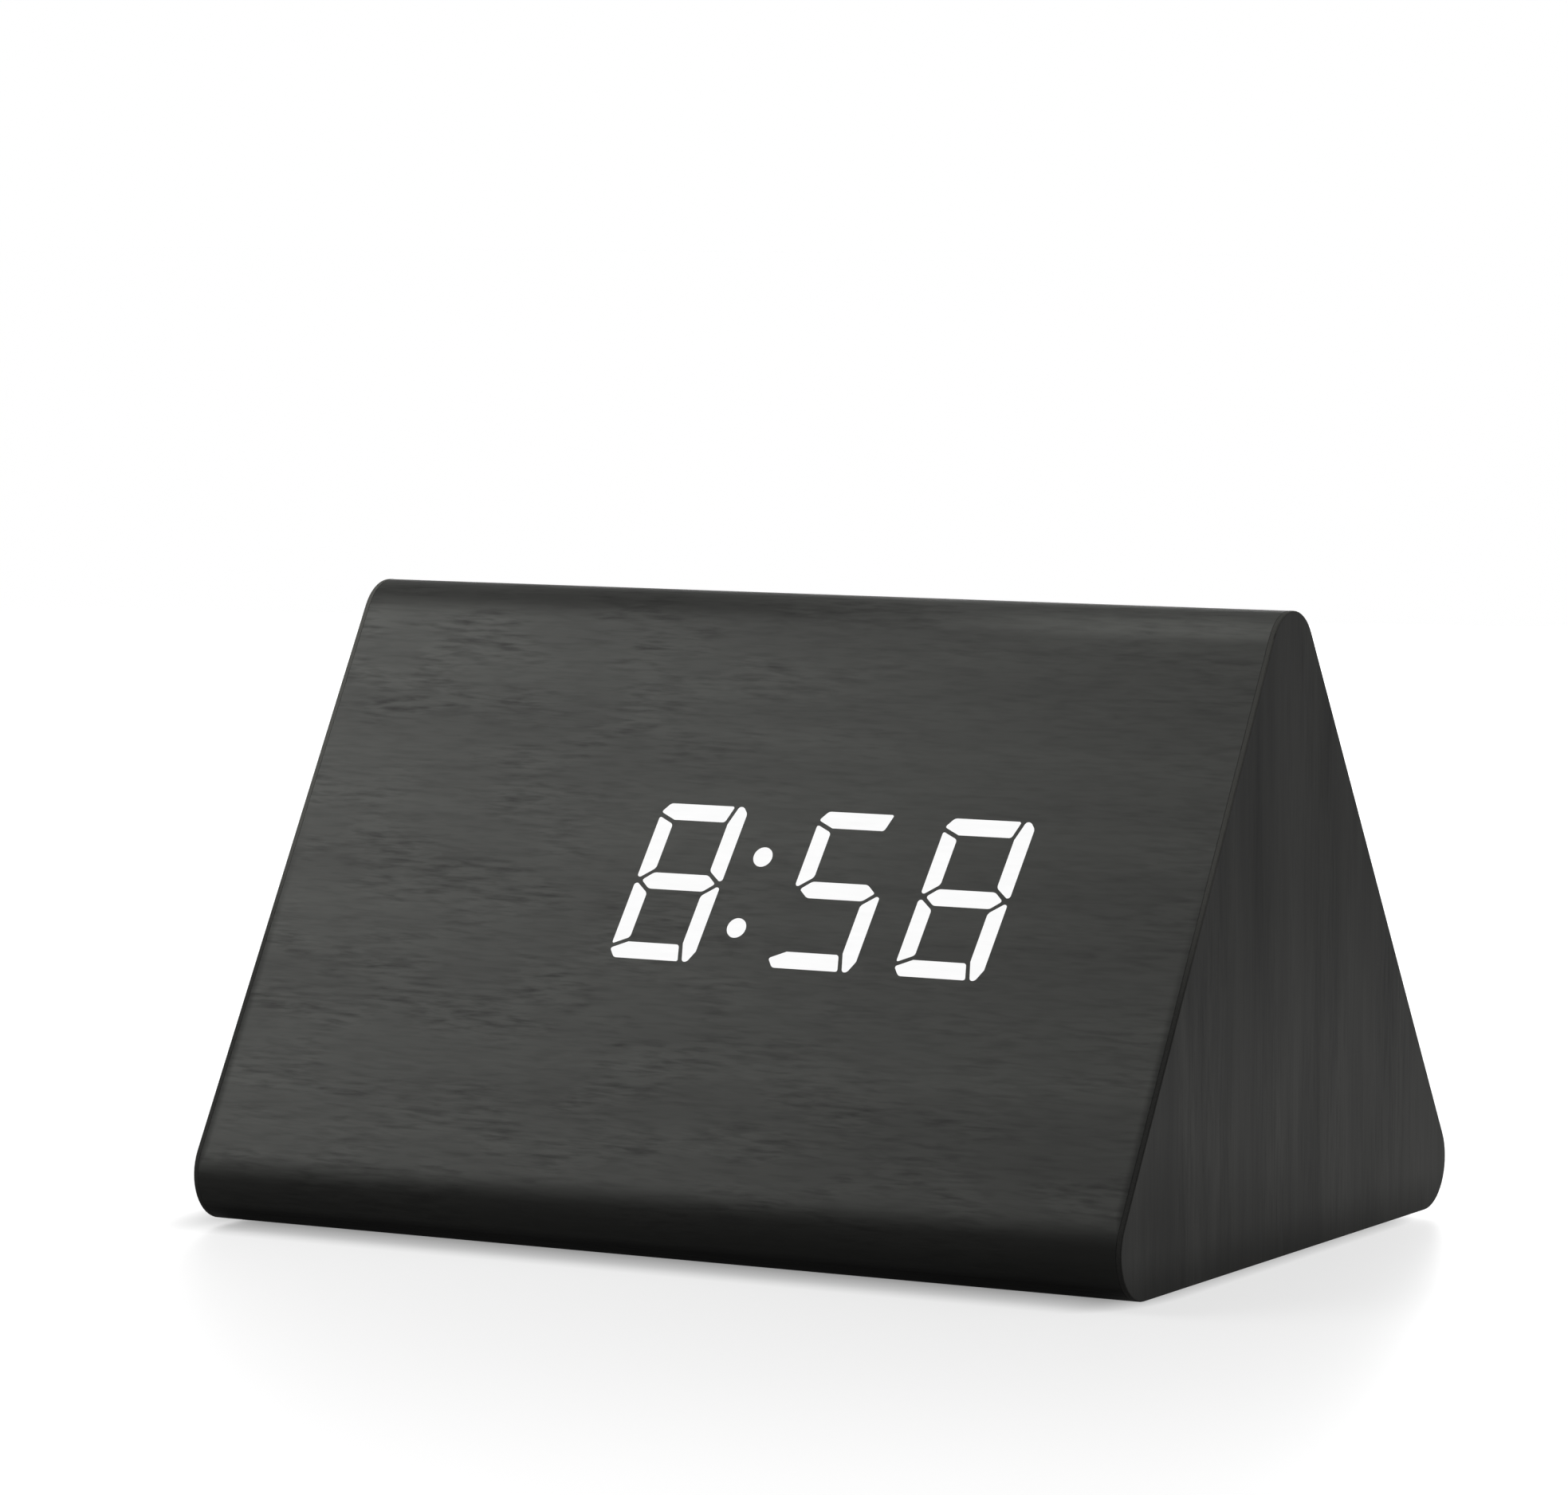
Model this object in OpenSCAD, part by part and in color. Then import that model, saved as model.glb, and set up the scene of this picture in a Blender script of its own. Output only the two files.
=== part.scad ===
// Wooden alarm clock whose figures shine through its veneer.
// The body is a long block with a rounded triangular section that stands on one
// face and leans its display back. It runs on four cells or from a power inlet.
// Sizes are millimetres. X runs along the body, the front faces minus Y, Z is up.

/* [Body] */
// Length of the body, end to end
body_len = 120; // [112:1:136]
// Depth of the body at its base, front to back
body_depth = 83.6; // [82.8:0.2:90]
// Height of the body above its feet
body_h = 72.2; // [70:0.2:78]
// Radius of the three long edges
corner_r = 5.6; // [5.2:0.1:6.2]
// Thickness of the MDF walls
wall_t = 5; // [4.6:0.1:5.2]
// Thickness of the veneer
veneer_t = 0.6; // [0.4:0.1:0.8]
// Height of the stick-on feet
foot_h = 0.8; // [0.6:0.1:2]

/* [Display] */
// Hour that the display shows
shown_hour = 8; // [1:1:12]
// Minute that the display shows
shown_minute = 58; // [0:1:59]
// Height of a digit, measured up the front face
digit_h = 19.5; // [18:0.1:21]
// Width of a digit
digit_w = 11.2; // [10.5:0.1:12]
// Width of a segment
segment_w = 2.05; // [1.9:0.05:2.5]
// Dark gap between two segments
segment_gap = 0.55; // [0.3:0.05:0.7]
// Lean of the digits to the right, in degrees
digit_lean = 5.4; // [0:0.2:8]
// Spacing of the two digits of a pair
digit_pitch = 16.15; // [15.5:0.05:16.5]
// Spacing of the two digits beside the colon
colon_pitch = 20.7; // [19.5:0.1:21.5]
// Diameter of a colon dot
dot_d = 2.45; // [2:0.05:3]
// Spacing of the two colon dots
dot_spacing = 8.9; // [7:0.1:10]
// Distance of the display to the right of the middle
display_right = 3.8; // [0:0.1:5]
// Distance of the display up the face from its middle
display_up = 1.85; // [-2:0.05:3]

/* [Controls] */
// Height of the control panel's middle up the back face
panel_up = 26; // [25:0.5:32]
// Diameter of a button
button_d = 6; // [5:0.1:7]
// Spacing of the three buttons
button_pitch = 10; // [9.5:0.1:10.5]
// Distance that a button stands out of the panel
button_out = 1.4; // [0.8:0.1:2]
// Inside diameter of the power inlet
inlet_d = 3.6; // [3.4:0.1:4.2]
// Diameter of the power inlet's centre pin
inlet_pin_d = 1.3; // [1:0.1:1.4]

/* [Battery compartment] */
// Diameter of a cell
cell_d = 10.5; // [10.1:0.1:10.5]
// Length of a cell over its contact
cell_len = 44.5; // [43.5:0.1:44.5]
// Length of a contact spring with a cell in place
spring_len = 5.5; // [5:0.1:6]
// Thickness of the door
door_t = 1.6; // [1.4:0.1:1.8]
// Radius of the door's hinge rail
hinge_r = 1.8; // [1.8:0.1:2]
// Running clearance of the hinge pins
pin_gap = 0.06; // [0.04:0.01:0.1]

/* [Hidden] */
$fn = 64;
// An overshoot that lets a cut leave its solid cleanly
cut = 0.5;

// Section of the body: centres of the three long edges, and its two sloping faces
mid_y = body_depth / 2 - corner_r;
low_z = foot_h + corner_r;
top_z = foot_h + body_h - corner_r;
slope = atan2(top_z - low_z, mid_y);
face_len = norm([mid_y, top_z - low_z]);
core_r = corner_r - veneer_t;
// The end veneers cover the ends of the wrap
core_len = body_len - 2 * veneer_t;
panel_end_t = 5;
inner_w = -(veneer_t + wall_t);

// Display: levels are counted outwards from the face of the veneer
film_t = 0.3;
nose_w = -(veneer_t + film_t);
flange_t = 2;
board_t = 1.6;
board_w = inner_w - flange_t;
nose = [colon_pitch + 2 * digit_pitch + digit_w + 6.5, digit_h + 5];
lamp_flange = nose + [13, 10];
lamp_screws = lamp_flange / 2 - [3.2, 2.9];
SPOTS = [-colon_pitch / 2 - digit_pitch, -colon_pitch / 2,
         colon_pitch / 2, colon_pitch / 2 + digit_pitch];
DOTS = [[-0.7, -0.75 + dot_spacing / 2], [-0.7, -0.75 - dot_spacing / 2]];
// Segments that make up the figures 0 to 9, and none for a blank place
FIGURES = ["abcdef", "bc", "abdeg", "abcdg", "bcfg",
           "acdfg", "acdefg", "abc", "abcdefg", "abcdfg", ""];
BLANK = 10;
shown = [
    shown_hour > 9 ? floor(shown_hour / 10) : BLANK,
    shown_hour % 10,
    floor(shown_minute / 10),
    shown_minute % 10
];

// Controls: levels are counted outwards from the face of the veneer
panel = [76, 20];
panel_t = 1.6;
panel_hole = [64, 14];
panel_post_u = 28.5;
panel_screw_u = 35;
BUTTONS = [4 - button_pitch, 4, 4 + button_pitch];
inlet_u = -18;
mic_u = 22.3;
bead_u = -24;
stop_w = -panel_t - 0.1;
plunger_w = -4.6;
switch_w = -5.3;
control_w = -8.7;
control_board_size = [62, 18];
// Both ribbon sockets end at one level, so that the ribbon is one even curve
socket_end_w = -14;
socket_v = panel_up + 2;
ribbon_x = 21;
ribbon_w = 7.6;
ribbon_t = 1;

// Battery compartment
cell_count = 4;
cell_pitch = cell_d + 0.4;
bay = [cell_len + spring_len, cell_count * cell_pitch + 0.6];
bay_y = -0.75;
bay_wall = 1.8;
flange_z = foot_h + 2;
cell_z = foot_h + door_t + 0.8 + cell_d / 2;
bay_z = cell_z + cell_d / 2 + 0.2;
box_z = bay_z + 1.6;
hinge_y = bay_y + bay.y / 2 - 0.2;
hinge_z = foot_h + hinge_r;
groove_r = hinge_r + 0.25;
pin_r = 1;
pin_len = 2.4;
door_x = bay.x / 2 + 0.9;
recess_x = door_x + 0.3;
door_y = bay_y - bay.y / 2 - 0.9;
box_front = bay_y - bay.y / 2 - bay_wall;
box_back = hinge_y + groove_r + 1.4;
box_x = bay.x / 2 + bay_wall;
boss_x = recess_x + 3;
box_flange = [bay.x + 20, 58.3];
box_hole = [2 * boss_x + 0.8, 50.4];
box_screws = [box_flange.x / 2 - 2.4, 19];
plate_t = 0.4;
plate_h = 8.6;
tab_z = cell_z + 2;
tab_x = box_x + 1.5;
lead_r = 0.55;
// Latch: a tongue on the door that stands in a pocket of the front wall
latch_w = 8;
latch_t = 0.9;
latch_h = 5.2;
latch_y = door_y + 0.15;
pocket_y = door_y - 0.25;
// Scoop for a fingertip, in front of the latch
scoop_r = 4;

// Contact spring: a tapering coil of wire with straight ends
wire_d = 0.7;
coil_turns = 3;
coil_r = [3.5, 2.5];

// Shared forms

// Block between two corners
module block(low, high) {
    translate(low) cube(high - low);
}

// Flat outline drawn across the body and carried along it, about its middle
module along_x(length) {
    rotate([90, 0, 90]) translate([0, 0, -length / 2]) linear_extrude(length) children();
}

// Rounded triangle, with edges of radius r about the three edge centres
module body_outline(r) {
    side = r * [sin(slope), cos(slope)];
    polygon([
        [-mid_y, low_z - r],
        [mid_y, low_z - r],
        [mid_y + side.x, low_z + side.y],
        [side.x, top_z + side.y],
        [-side.x, top_z + side.y],
        [-mid_y - side.x, low_z + side.y]
    ]);
    for (centre = [[-mid_y, low_z], [mid_y, low_z], [0, top_z]]) {
        translate(centre) circle(r);
    }
}

// Triangle of the hollow inside the MDF walls, less a gap all round
module hollow_outline(gap = 0) {
    inset = wall_t - core_r + gap;
    half = mid_y - inset / tan(slope / 2);
    polygon([
        [-half, low_z + inset],
        [half, low_z + inset],
        [0, top_z - inset / cos(slope)]
    ]);
}

// Rectangle with round corners about its middle
module rounded_rect(size, r) {
    square([size.x - 2 * r, size.y], center = true);
    square([size.x, size.y - 2 * r], center = true);
    for (x = [-1, 1], y = [-1, 1]) {
        translate([x * (size.x / 2 - r), y * (size.y / 2 - r)]) circle(r);
    }
}

// Places a child on the front face: X along it, Y up it, Z out of it
module on_front() {
    translate([0, -mid_y, low_z])
        rotate([slope, 0, 0])
            translate([0, 0, corner_r]) children();
}

// The same on the back face, as seen from behind
module on_back() {
    rotate([0, 0, 180]) on_front() children();
}

module on_display() {
    on_front() translate([display_right, face_len / 2 + display_up, 0]) children();
}

module on_panel() {
    on_back() translate([0, panel_up, 0]) children();
}

// Repeats a child at the four corners of a rectangle
module at_corners(half) {
    for (x = [-1, 1], y = [-1, 1]) {
        translate([x * half.x, y * half.y, 0]) children();
    }
}

// Cross recess in the top of a screw
module cross_recess(width) {
    block([-width / 2, -0.3, -0.6], [width / 2, 0.3, cut]);
    block([-0.3, -width / 2, -0.6], [0.3, width / 2, cut]);
}

// Pan-head screw: its head stands on Z = 0, its shank runs down
module pan_screw(length, shank_r, head_r, head_h) {
    difference() {
        rotate_extrude() polygon([
            [0, -length], [shank_r * 0.5, -length], [shank_r, -length + 1], [shank_r, 0],
            [head_r, 0], [head_r, head_h * 0.5], [head_r * 0.7, head_h], [0, head_h]
        ]);
        translate([0, 0, head_h]) cross_recess(head_r * 1.1);
    }
}

// Countersunk screw: its head ends at Z = 0, its shank runs down
module flat_screw(length, shank_r, head_r) {
    difference() {
        rotate_extrude() polygon([
            [0, -length], [shank_r * 0.5, -length], [shank_r, -length + 1],
            [shank_r, shank_r - head_r], [head_r, -0.15], [head_r, 0], [0, 0]
        ]);
        cross_recess(head_r * 1.1);
    }
}

// Hole for a countersunk screw, with a little room round it
module flat_screw_hole(length, shank_r, head_r) {
    gap = 0.1;
    rotate_extrude() polygon([
        [0, -length], [shank_r + gap, -length], [shank_r + gap, shank_r - head_r],
        [head_r + gap, -0.15], [head_r + gap, cut], [0, cut]
    ]);
}

// Round tube of radius r along a path of [point, sideways direction] pairs
module tube(path, r, sides) {
    last = len(path) - 1;
    rings = [
        for (i = [0 : last])
            let (
                run = path[min(i + 1, last)][0] - path[max(i - 1, 0)][0],
                along = run / norm(run),
                across = cross(along, path[i][1]),
                side = across / norm(across),
                up = cross(side, along)
            )
            for (k = [0 : sides - 1])
                path[i][0] + r * (cos(360 * k / sides) * side + sin(360 * k / sides) * up)
    ];
    walls = [
        for (i = [0 : last - 1], k = [0 : sides - 1])
            [i * sides + k, i * sides + (k + 1) % sides,
             (i + 1) * sides + (k + 1) % sides, (i + 1) * sides + k]
    ];
    faces = concat(
        [[for (k = [sides - 1 : -1 : 0]) k]],
        walls,
        [[for (k = [0 : sides - 1]) last * sides + k]]
    );
    polyhedron(points = rings, faces = faces);
}

// Wooden body

module shell() {
    color("#6b5238") difference() {
        along_x(core_len) body_outline(core_r);
        along_x(core_len + 2 * cut) hollow_outline();
        on_display() translate([0, 0, inner_w - cut])
            linear_extrude(wall_t + 2 * cut) square(nose + [0.4, 0.4], center = true);
        on_display() at_corners(lamp_screws)
            translate([0, 0, inner_w - cut]) cylinder(r = 1.1, h = 4.3);
        on_panel() {
            translate([0, 0, -panel_t])
                linear_extrude(panel_t + cut) rounded_rect(panel + [0.3, 0.3], 3.15);
            translate([0, 0, inner_w - cut])
                linear_extrude(wall_t + 2 * cut) square(panel_hole, center = true);
            for (u = [-panel_screw_u, panel_screw_u]) {
                translate([u, 0, -5.2]) cylinder(r = 0.95, h = 5);
            }
        }
        translate([0, 0, foot_h])
            linear_extrude(2) rounded_rect(box_flange + [0.3, 0.3], 3.15);
        translate([0, 0, foot_h])
            linear_extrude(wall_t + 2) square(box_hole, center = true);
        translate([0, 0, foot_h]) at_corners(box_screws) cylinder(r = 0.95, h = 5.2);
    }
}

// MDF panel that closes one end of the tube
module end_panel() {
    color("#6b5238")
        translate([core_len / 2 - panel_end_t / 2, 0, 0])
            along_x(panel_end_t) hollow_outline(0.1);
}

module left_end_panel() {
    mirror([1, 0, 0]) end_panel();
}

module right_end_panel() {
    end_panel();
}

// Wood-grain veneer round the three long faces, open where the controls and
// the battery compartment are let in and where the figures shine through
module veneer_wrap() {
    color("#474745") difference() {
        along_x(core_len) difference() {
            body_outline(corner_r);
            body_outline(core_r);
        }
        on_display() translate([0, 0, -veneer_t - cut])
            linear_extrude(veneer_t + 2 * cut) lit_areas();
        on_panel() translate([0, 0, -veneer_t - cut])
            linear_extrude(veneer_t + 2 * cut) rounded_rect(panel + [0.3, 0.3], 3.15);
        translate([0, 0, foot_h - cut])
            linear_extrude(veneer_t + 2 * cut) rounded_rect(box_flange + [0.3, 0.3], 3.15);
    }
}

// Veneer sheet over the whole end, wrap included
module end_veneer() {
    color("#3b3b39")
        translate([core_len / 2 + veneer_t / 2, 0, 0])
            along_x(veneer_t) body_outline(corner_r);
}

module left_end_veneer() {
    mirror([1, 0, 0]) end_veneer();
}

module right_end_veneer() {
    end_veneer();
}

// Display

function flip(points) = [for (p = points) [p.x, -p.y]];

function leaning(points) = [for (p = points) [p.x + p.y * tan(digit_lean), p.y]];

// Corners of the upper right segment of an upright digit about the digit's middle.
// Its outer corner is cut back by a share of the segment's width each way.
function right_points(cut_back) =
    let (
        x = digit_w / 2,
        y = digit_h / 2,
        t = segment_w,
        g = segment_gap
    )
    [[x - t, y - 1.1 * t], [x - 0.65 * t, y], [x - cut_back.x * t, y], [x, y - cut_back.y * t],
     [x, 0.25 * t], [x - 0.18 * t, 0.6 * g], [x - t, t / 2 + g]];

// Corners of any segment. The left corners of a digit belong to the level segments,
// the right ones to the upright segments.
function segment_points(name) =
    let (
        x = digit_w / 2,
        y = digit_h / 2,
        t = segment_w,
        g = segment_gap,
        in_x = x - t,
        in_y = y - t
    )
    name == "a" ? [[-x, in_y + 0.45 * t], [-x + 0.43 * t, y], [x - 0.65 * t - g, y],
                   [in_x - 0.8 * g, in_y], [-in_x, in_y]] :
    name == "b" ? right_points([0.36, 0.4]) :
    name == "c" ? flip(right_points([0.34, 0.66])) :
    name == "d" ? flip(segment_points("a")) :
    name == "e" ? flip(segment_points("f")) :
    name == "f" ? [[-x, in_y + 0.45 * t - g], [-in_x, in_y - g],
                   [-in_x, t / 2 + g], [-x + 0.18 * t, 0.6 * g], [-x, 0.25 * t]] :
    [[-x + 0.38 * t, 0], [-in_x, t / 2], [in_x, t / 2],
     [x - 0.38 * t, 0], [in_x, -t / 2], [-in_x, -t / 2]];

module segment(name) {
    polygon(leaning(segment_points(name)));
}

module figure(names) {
    for (name = names) {
        segment(name);
    }
}

module dots(r) {
    for (dot = leaning(DOTS)) {
        translate(dot) circle(r);
    }
}

// Outline of what glows at the shown time; a gap shrinks the round dots
module lit_areas(gap = 0) {
    for (place = [0 : 3]) {
        translate([SPOTS[place], 0]) figure(FIGURES[shown[place]]);
    }
    dots(dot_d / 2 - gap);
}

// The glowing areas of the veneer, flush with the rest of it
module lit_segments() {
    color("white") on_display() translate([0, 0, -veneer_t])
        linear_extrude(veneer_t) lit_areas(0.02);
}

module diffuser_film() {
    color("#f2f2ee") on_display() translate([0, 0, nose_w])
        linear_extrude(film_t) square(nose, center = true);
}

// White reflector: one well for each segment keeps its light from the next
module light_box() {
    color("#ececea") on_display() difference() {
        union() {
            translate([0, 0, inner_w])
                linear_extrude(nose_w - inner_w) square(nose, center = true);
            translate([0, 0, board_w])
                linear_extrude(flange_t) square(lamp_flange, center = true);
        }
        translate([0, 0, board_w - cut]) linear_extrude(nose_w - board_w + 2 * cut) {
            for (spot = SPOTS) {
                translate([spot, 0]) figure(FIGURES[8]);
            }
            dots(dot_d / 2);
        }
        at_corners(lamp_screws)
            translate([0, 0, board_w - cut]) cylinder(r = 1.2, h = flange_t + 2 * cut);
    }
}

module display_board() {
    color("#1d5a37") on_display() translate([0, 0, board_w - board_t]) difference() {
        linear_extrude(board_t) square(lamp_flange, center = true);
        at_corners(lamp_screws)
            translate([0, 0, -cut]) cylinder(r = 1.2, h = board_t + 2 * cut);
    }
}

function middle(points) = [for (p = points) 1] * points / len(points);

// One LED on the board at the bottom of each well, turned along its segment
module segment_leds() {
    color("#f4e7a8") on_display() translate([0, 0, board_w]) {
        for (spot = SPOTS, name = FIGURES[8]) {
            place = middle(leaning(segment_points(name)));
            level = len(search(name, "adg")) > 0;
            size = level ? [2, 1.2] : [1.2, 2];
            translate([spot + place.x, place.y, 0])
                linear_extrude(0.7) square(size, center = true);
        }
        for (dot = leaning(DOTS)) {
            translate(dot) linear_extrude(0.7) square([1.2, 1.2], center = true);
        }
    }
}

// Chip with a row of legs along each long side, standing on Z = 0
module chip(size, legs) {
    pitch = 1.27;
    translate([0, 0, 0.2]) block([-size.x / 2, -size.y / 2, 0], [size.x / 2, size.y / 2, size.z]);
    for (i = [0 : legs - 1], side = [-1, 1]) {
        translate([(i - (legs - 1) / 2) * pitch, side * (size.y / 2 + 0.6), 0.3])
            cube([0.45, 1.4, 0.6], center = true);
    }
}

// Places a child on the hidden side of the display board, facing inwards
module behind_display(at) {
    on_display() translate([at.x, at.y, board_w - board_t]) rotate([180, 0, 0]) children();
}

module clock_chip() {
    color("#26282a") behind_display([-4, 6]) chip([17.9, 7.5, 2.2], 14);
}

module driver_chip() {
    color("#26282a") behind_display([-4, -9]) chip([12.8, 7.5, 2.2], 10);
}

// Watch crystal: a small can on its side, with its two leads
module crystal() {
    color("#c9ccce") behind_display([13, 9]) translate([0, 0, 1.1]) {
        rotate([0, 90, 0]) cylinder(r = 1.05, h = 6);
        for (y = [-0.35, 0.35]) {
            translate([-2, y, 0]) rotate([0, 90, 0]) cylinder(r = 0.18, h = 2.2);
            translate([-1.85, y, -1.1]) cylinder(r = 0.18, h = 1.2);
        }
    }
}

// Tray that holds the coin cell, open on its inner side
module backup_cell_holder() {
    color("#2f3133") behind_display([-28, 0]) difference() {
        block([-11.5, -11.5, 0], [11.5, 11.5, 4.2]);
        translate([0, 0, 0.8]) cylinder(r = 10.2, h = 4);
        block([-3, -12, 0.8], [3, -6, 5]);
    }
}

module backup_cell() {
    color("#c3c6c8") behind_display([-28, 0]) translate([0, 0, 0.8]) rotate_extrude() polygon([
        [0, 0], [8.4, 0], [8.4, 0.4], [9.6, 0.4], [10, 0.8], [10, 3], [9.8, 3.2], [0, 3.2]
    ]);
}

module display_screws() {
    color("#b9bbbd") on_display() at_corners(lamp_screws)
        translate([0, 0, board_w - board_t]) rotate([180, 0, 0]) pan_screw(7, 1.05, 2.1, 1.5);
}

// Controls in the back wall

// Moulded insert, flush with the veneer, with a rim and two posts behind it
module control_panel() {
    color("#1f2021") on_panel() difference() {
        union() {
            translate([0, 0, -panel_t]) linear_extrude(panel_t) rounded_rect(panel, 3);
            translate([0, 0, -panel_t - 3.4]) linear_extrude(3.5) difference() {
                square(panel_hole - [0.4, 0.4], center = true);
                square(panel_hole - [3.4, 3.4], center = true);
            }
            for (u = [-panel_post_u, panel_post_u]) {
                translate([u, 0, control_w]) cylinder(r = 2.5, h = -control_w - 0.5);
            }
        }
        for (u = BUTTONS) {
            translate([u, 0, -panel_t - cut])
                cylinder(r = button_d / 2 + 0.25, h = panel_t + 2 * cut);
        }
        translate([inlet_u, 0, -panel_t - cut])
            cylinder(r = inlet_d / 2 + 1.7, h = panel_t + 2 * cut);
        translate([mic_u, 0, -panel_t - cut]) cylinder(r = 0.8, h = panel_t + 2 * cut);
        for (v = [-3, 0, 3]) {
            translate([bead_u, v, 0]) cube([2.4, 0.9, 2 * panel_t + 2 * cut], center = true);
        }
        for (u = [-panel_post_u, panel_post_u]) {
            translate([u, 0, control_w - cut]) cylinder(r = 0.95, h = 5);
        }
        for (u = [-panel_screw_u, panel_screw_u]) {
            translate([u, 0, 0]) flat_screw_hole(panel_t + cut, 0.9, 1.9);
        }
    }
}

module control_panel_screws() {
    color("#3a3c3e") on_panel() {
        for (u = [-panel_screw_u, panel_screw_u]) {
            translate([u, 0, 0]) flat_screw(4.8, 0.9, 1.9);
        }
    }
}

// Round cap with a collar that stops it behind the panel and a stem to its switch
module button(index) {
    r = button_d / 2;
    color("#2c2d2f") on_panel() translate([BUTTONS[index], 0, 0]) rotate_extrude() polygon([
        [0, plunger_w], [1.6, plunger_w], [1.6, stop_w - 0.9], [r + 0.8, stop_w - 0.9],
        [r + 0.8, stop_w], [r, stop_w], [r, button_out - 0.5], [r - 0.5, button_out],
        [0, button_out]
    ]);
}

module set_button() {
    button(0);
}

module up_button() {
    button(1);
}

module down_button() {
    button(2);
}

// Sprung peg of a tact switch, which its button pushes in
module plunger(index) {
    color("#4a4c4e") on_panel() translate([BUTTONS[index], 0, plunger_w - 1.3])
        cylinder(r = 1.6, h = 1.3);
}

module set_plunger() {
    plunger(0);
}

module up_plunger() {
    plunger(1);
}

module down_plunger() {
    plunger(2);
}

module switch_bodies() {
    color("#18191a") on_panel() for (u = BUTTONS) {
        translate([u, 0, control_w]) difference() {
            block([-3, -3, 0], [3, 3, switch_w - control_w]);
            translate([0, 0, 1.6]) cylinder(r = 1.9, h = 4);
        }
    }
}

module control_board() {
    color("#1d5a37") on_panel() translate([0, 0, control_w - board_t]) difference() {
        linear_extrude(board_t) square(control_board_size, center = true);
        for (u = [-panel_post_u, panel_post_u]) {
            translate([u, 0, -cut]) cylinder(r = 1.2, h = board_t + 2 * cut);
        }
    }
}

module control_board_screws() {
    color("#b9bbbd") on_panel() for (u = [-panel_post_u, panel_post_u]) {
        translate([u, 0, control_w - board_t]) rotate([180, 0, 0]) pan_screw(5.6, 0.9, 1.8, 1.3);
    }
}

// Socket for a round plug, with its centre pin, standing on the control board
module power_inlet() {
    barrel = inlet_d / 2 + 1.4;
    floor_w = control_w + 1.1;
    color("#222324") on_panel() translate([inlet_u, 0, 0]) {
        difference() {
            union() {
                translate([0, 0, -4]) cylinder(r = barrel, h = 3.7);
                block([-4.2, -4.2, control_w], [4.2, 4.2, -3.2]);
            }
            translate([0, 0, floor_w]) cylinder(r = inlet_d / 2, h = 10);
        }
        translate([0, 0, floor_w - 0.5]) cylinder(r = inlet_pin_d / 2, h = 7.1);
    }
}

// Round sounder on the inner side of the control board
module buzzer() {
    color("#1b1c1d") on_panel() translate([12, 2, control_w - board_t]) rotate([180, 0, 0])
        difference() {
            cylinder(r = 6, h = 6.5);
            translate([0, 0, 5]) cylinder(r = 1, h = 2);
        }
}

module microphone() {
    color("#b4b7b9") on_panel() translate([mic_u, 0, control_w]) difference() {
        cylinder(r = 3, h = 5);
        translate([0, 0, 4.4]) cylinder(r = 2.1, h = 1);
    }
}

// Temperature bead on two leads behind the slots of the panel
module thermistor() {
    color("#2e2a26") on_panel() translate([bead_u, 0, control_w]) {
        translate([0, 0, 5]) sphere(r = 1.1);
        for (v = [-0.5, 0.5]) {
            translate([0, v, 0]) cylinder(r = 0.2, h = 4.8);
        }
    }
}

// Flat cable that hangs in one curve from socket to socket
module ribbon_cable() {
    end_y = mid_y - socket_v * cos(slope) + (socket_end_w + corner_r) * sin(slope);
    end_z = low_z + socket_v * sin(slope) + (socket_end_w + corner_r) * cos(slope);
    r = end_y / cos(slope);
    half = 90 - slope;
    color("#8d9093") translate([ribbon_x - ribbon_w / 2, 0, end_z + r * sin(slope)])
        rotate([0, 90, 0]) rotate([0, 0, -half]) rotate_extrude(angle = 2 * half)
            translate([r - ribbon_t / 2, 0]) square([ribbon_t, ribbon_w]);
}

module ribbon_sockets() {
    size = [ribbon_w + 2.4, 5];
    color("#e4e2da") {
        on_front() translate([ribbon_x, socket_v, socket_end_w])
            linear_extrude(board_w - board_t - socket_end_w) square(size, center = true);
        on_back() translate([-ribbon_x, socket_v, socket_end_w])
            linear_extrude(control_w - board_t - socket_end_w) square(size, center = true);
    }
}

// Battery compartment in the bottom

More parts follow.
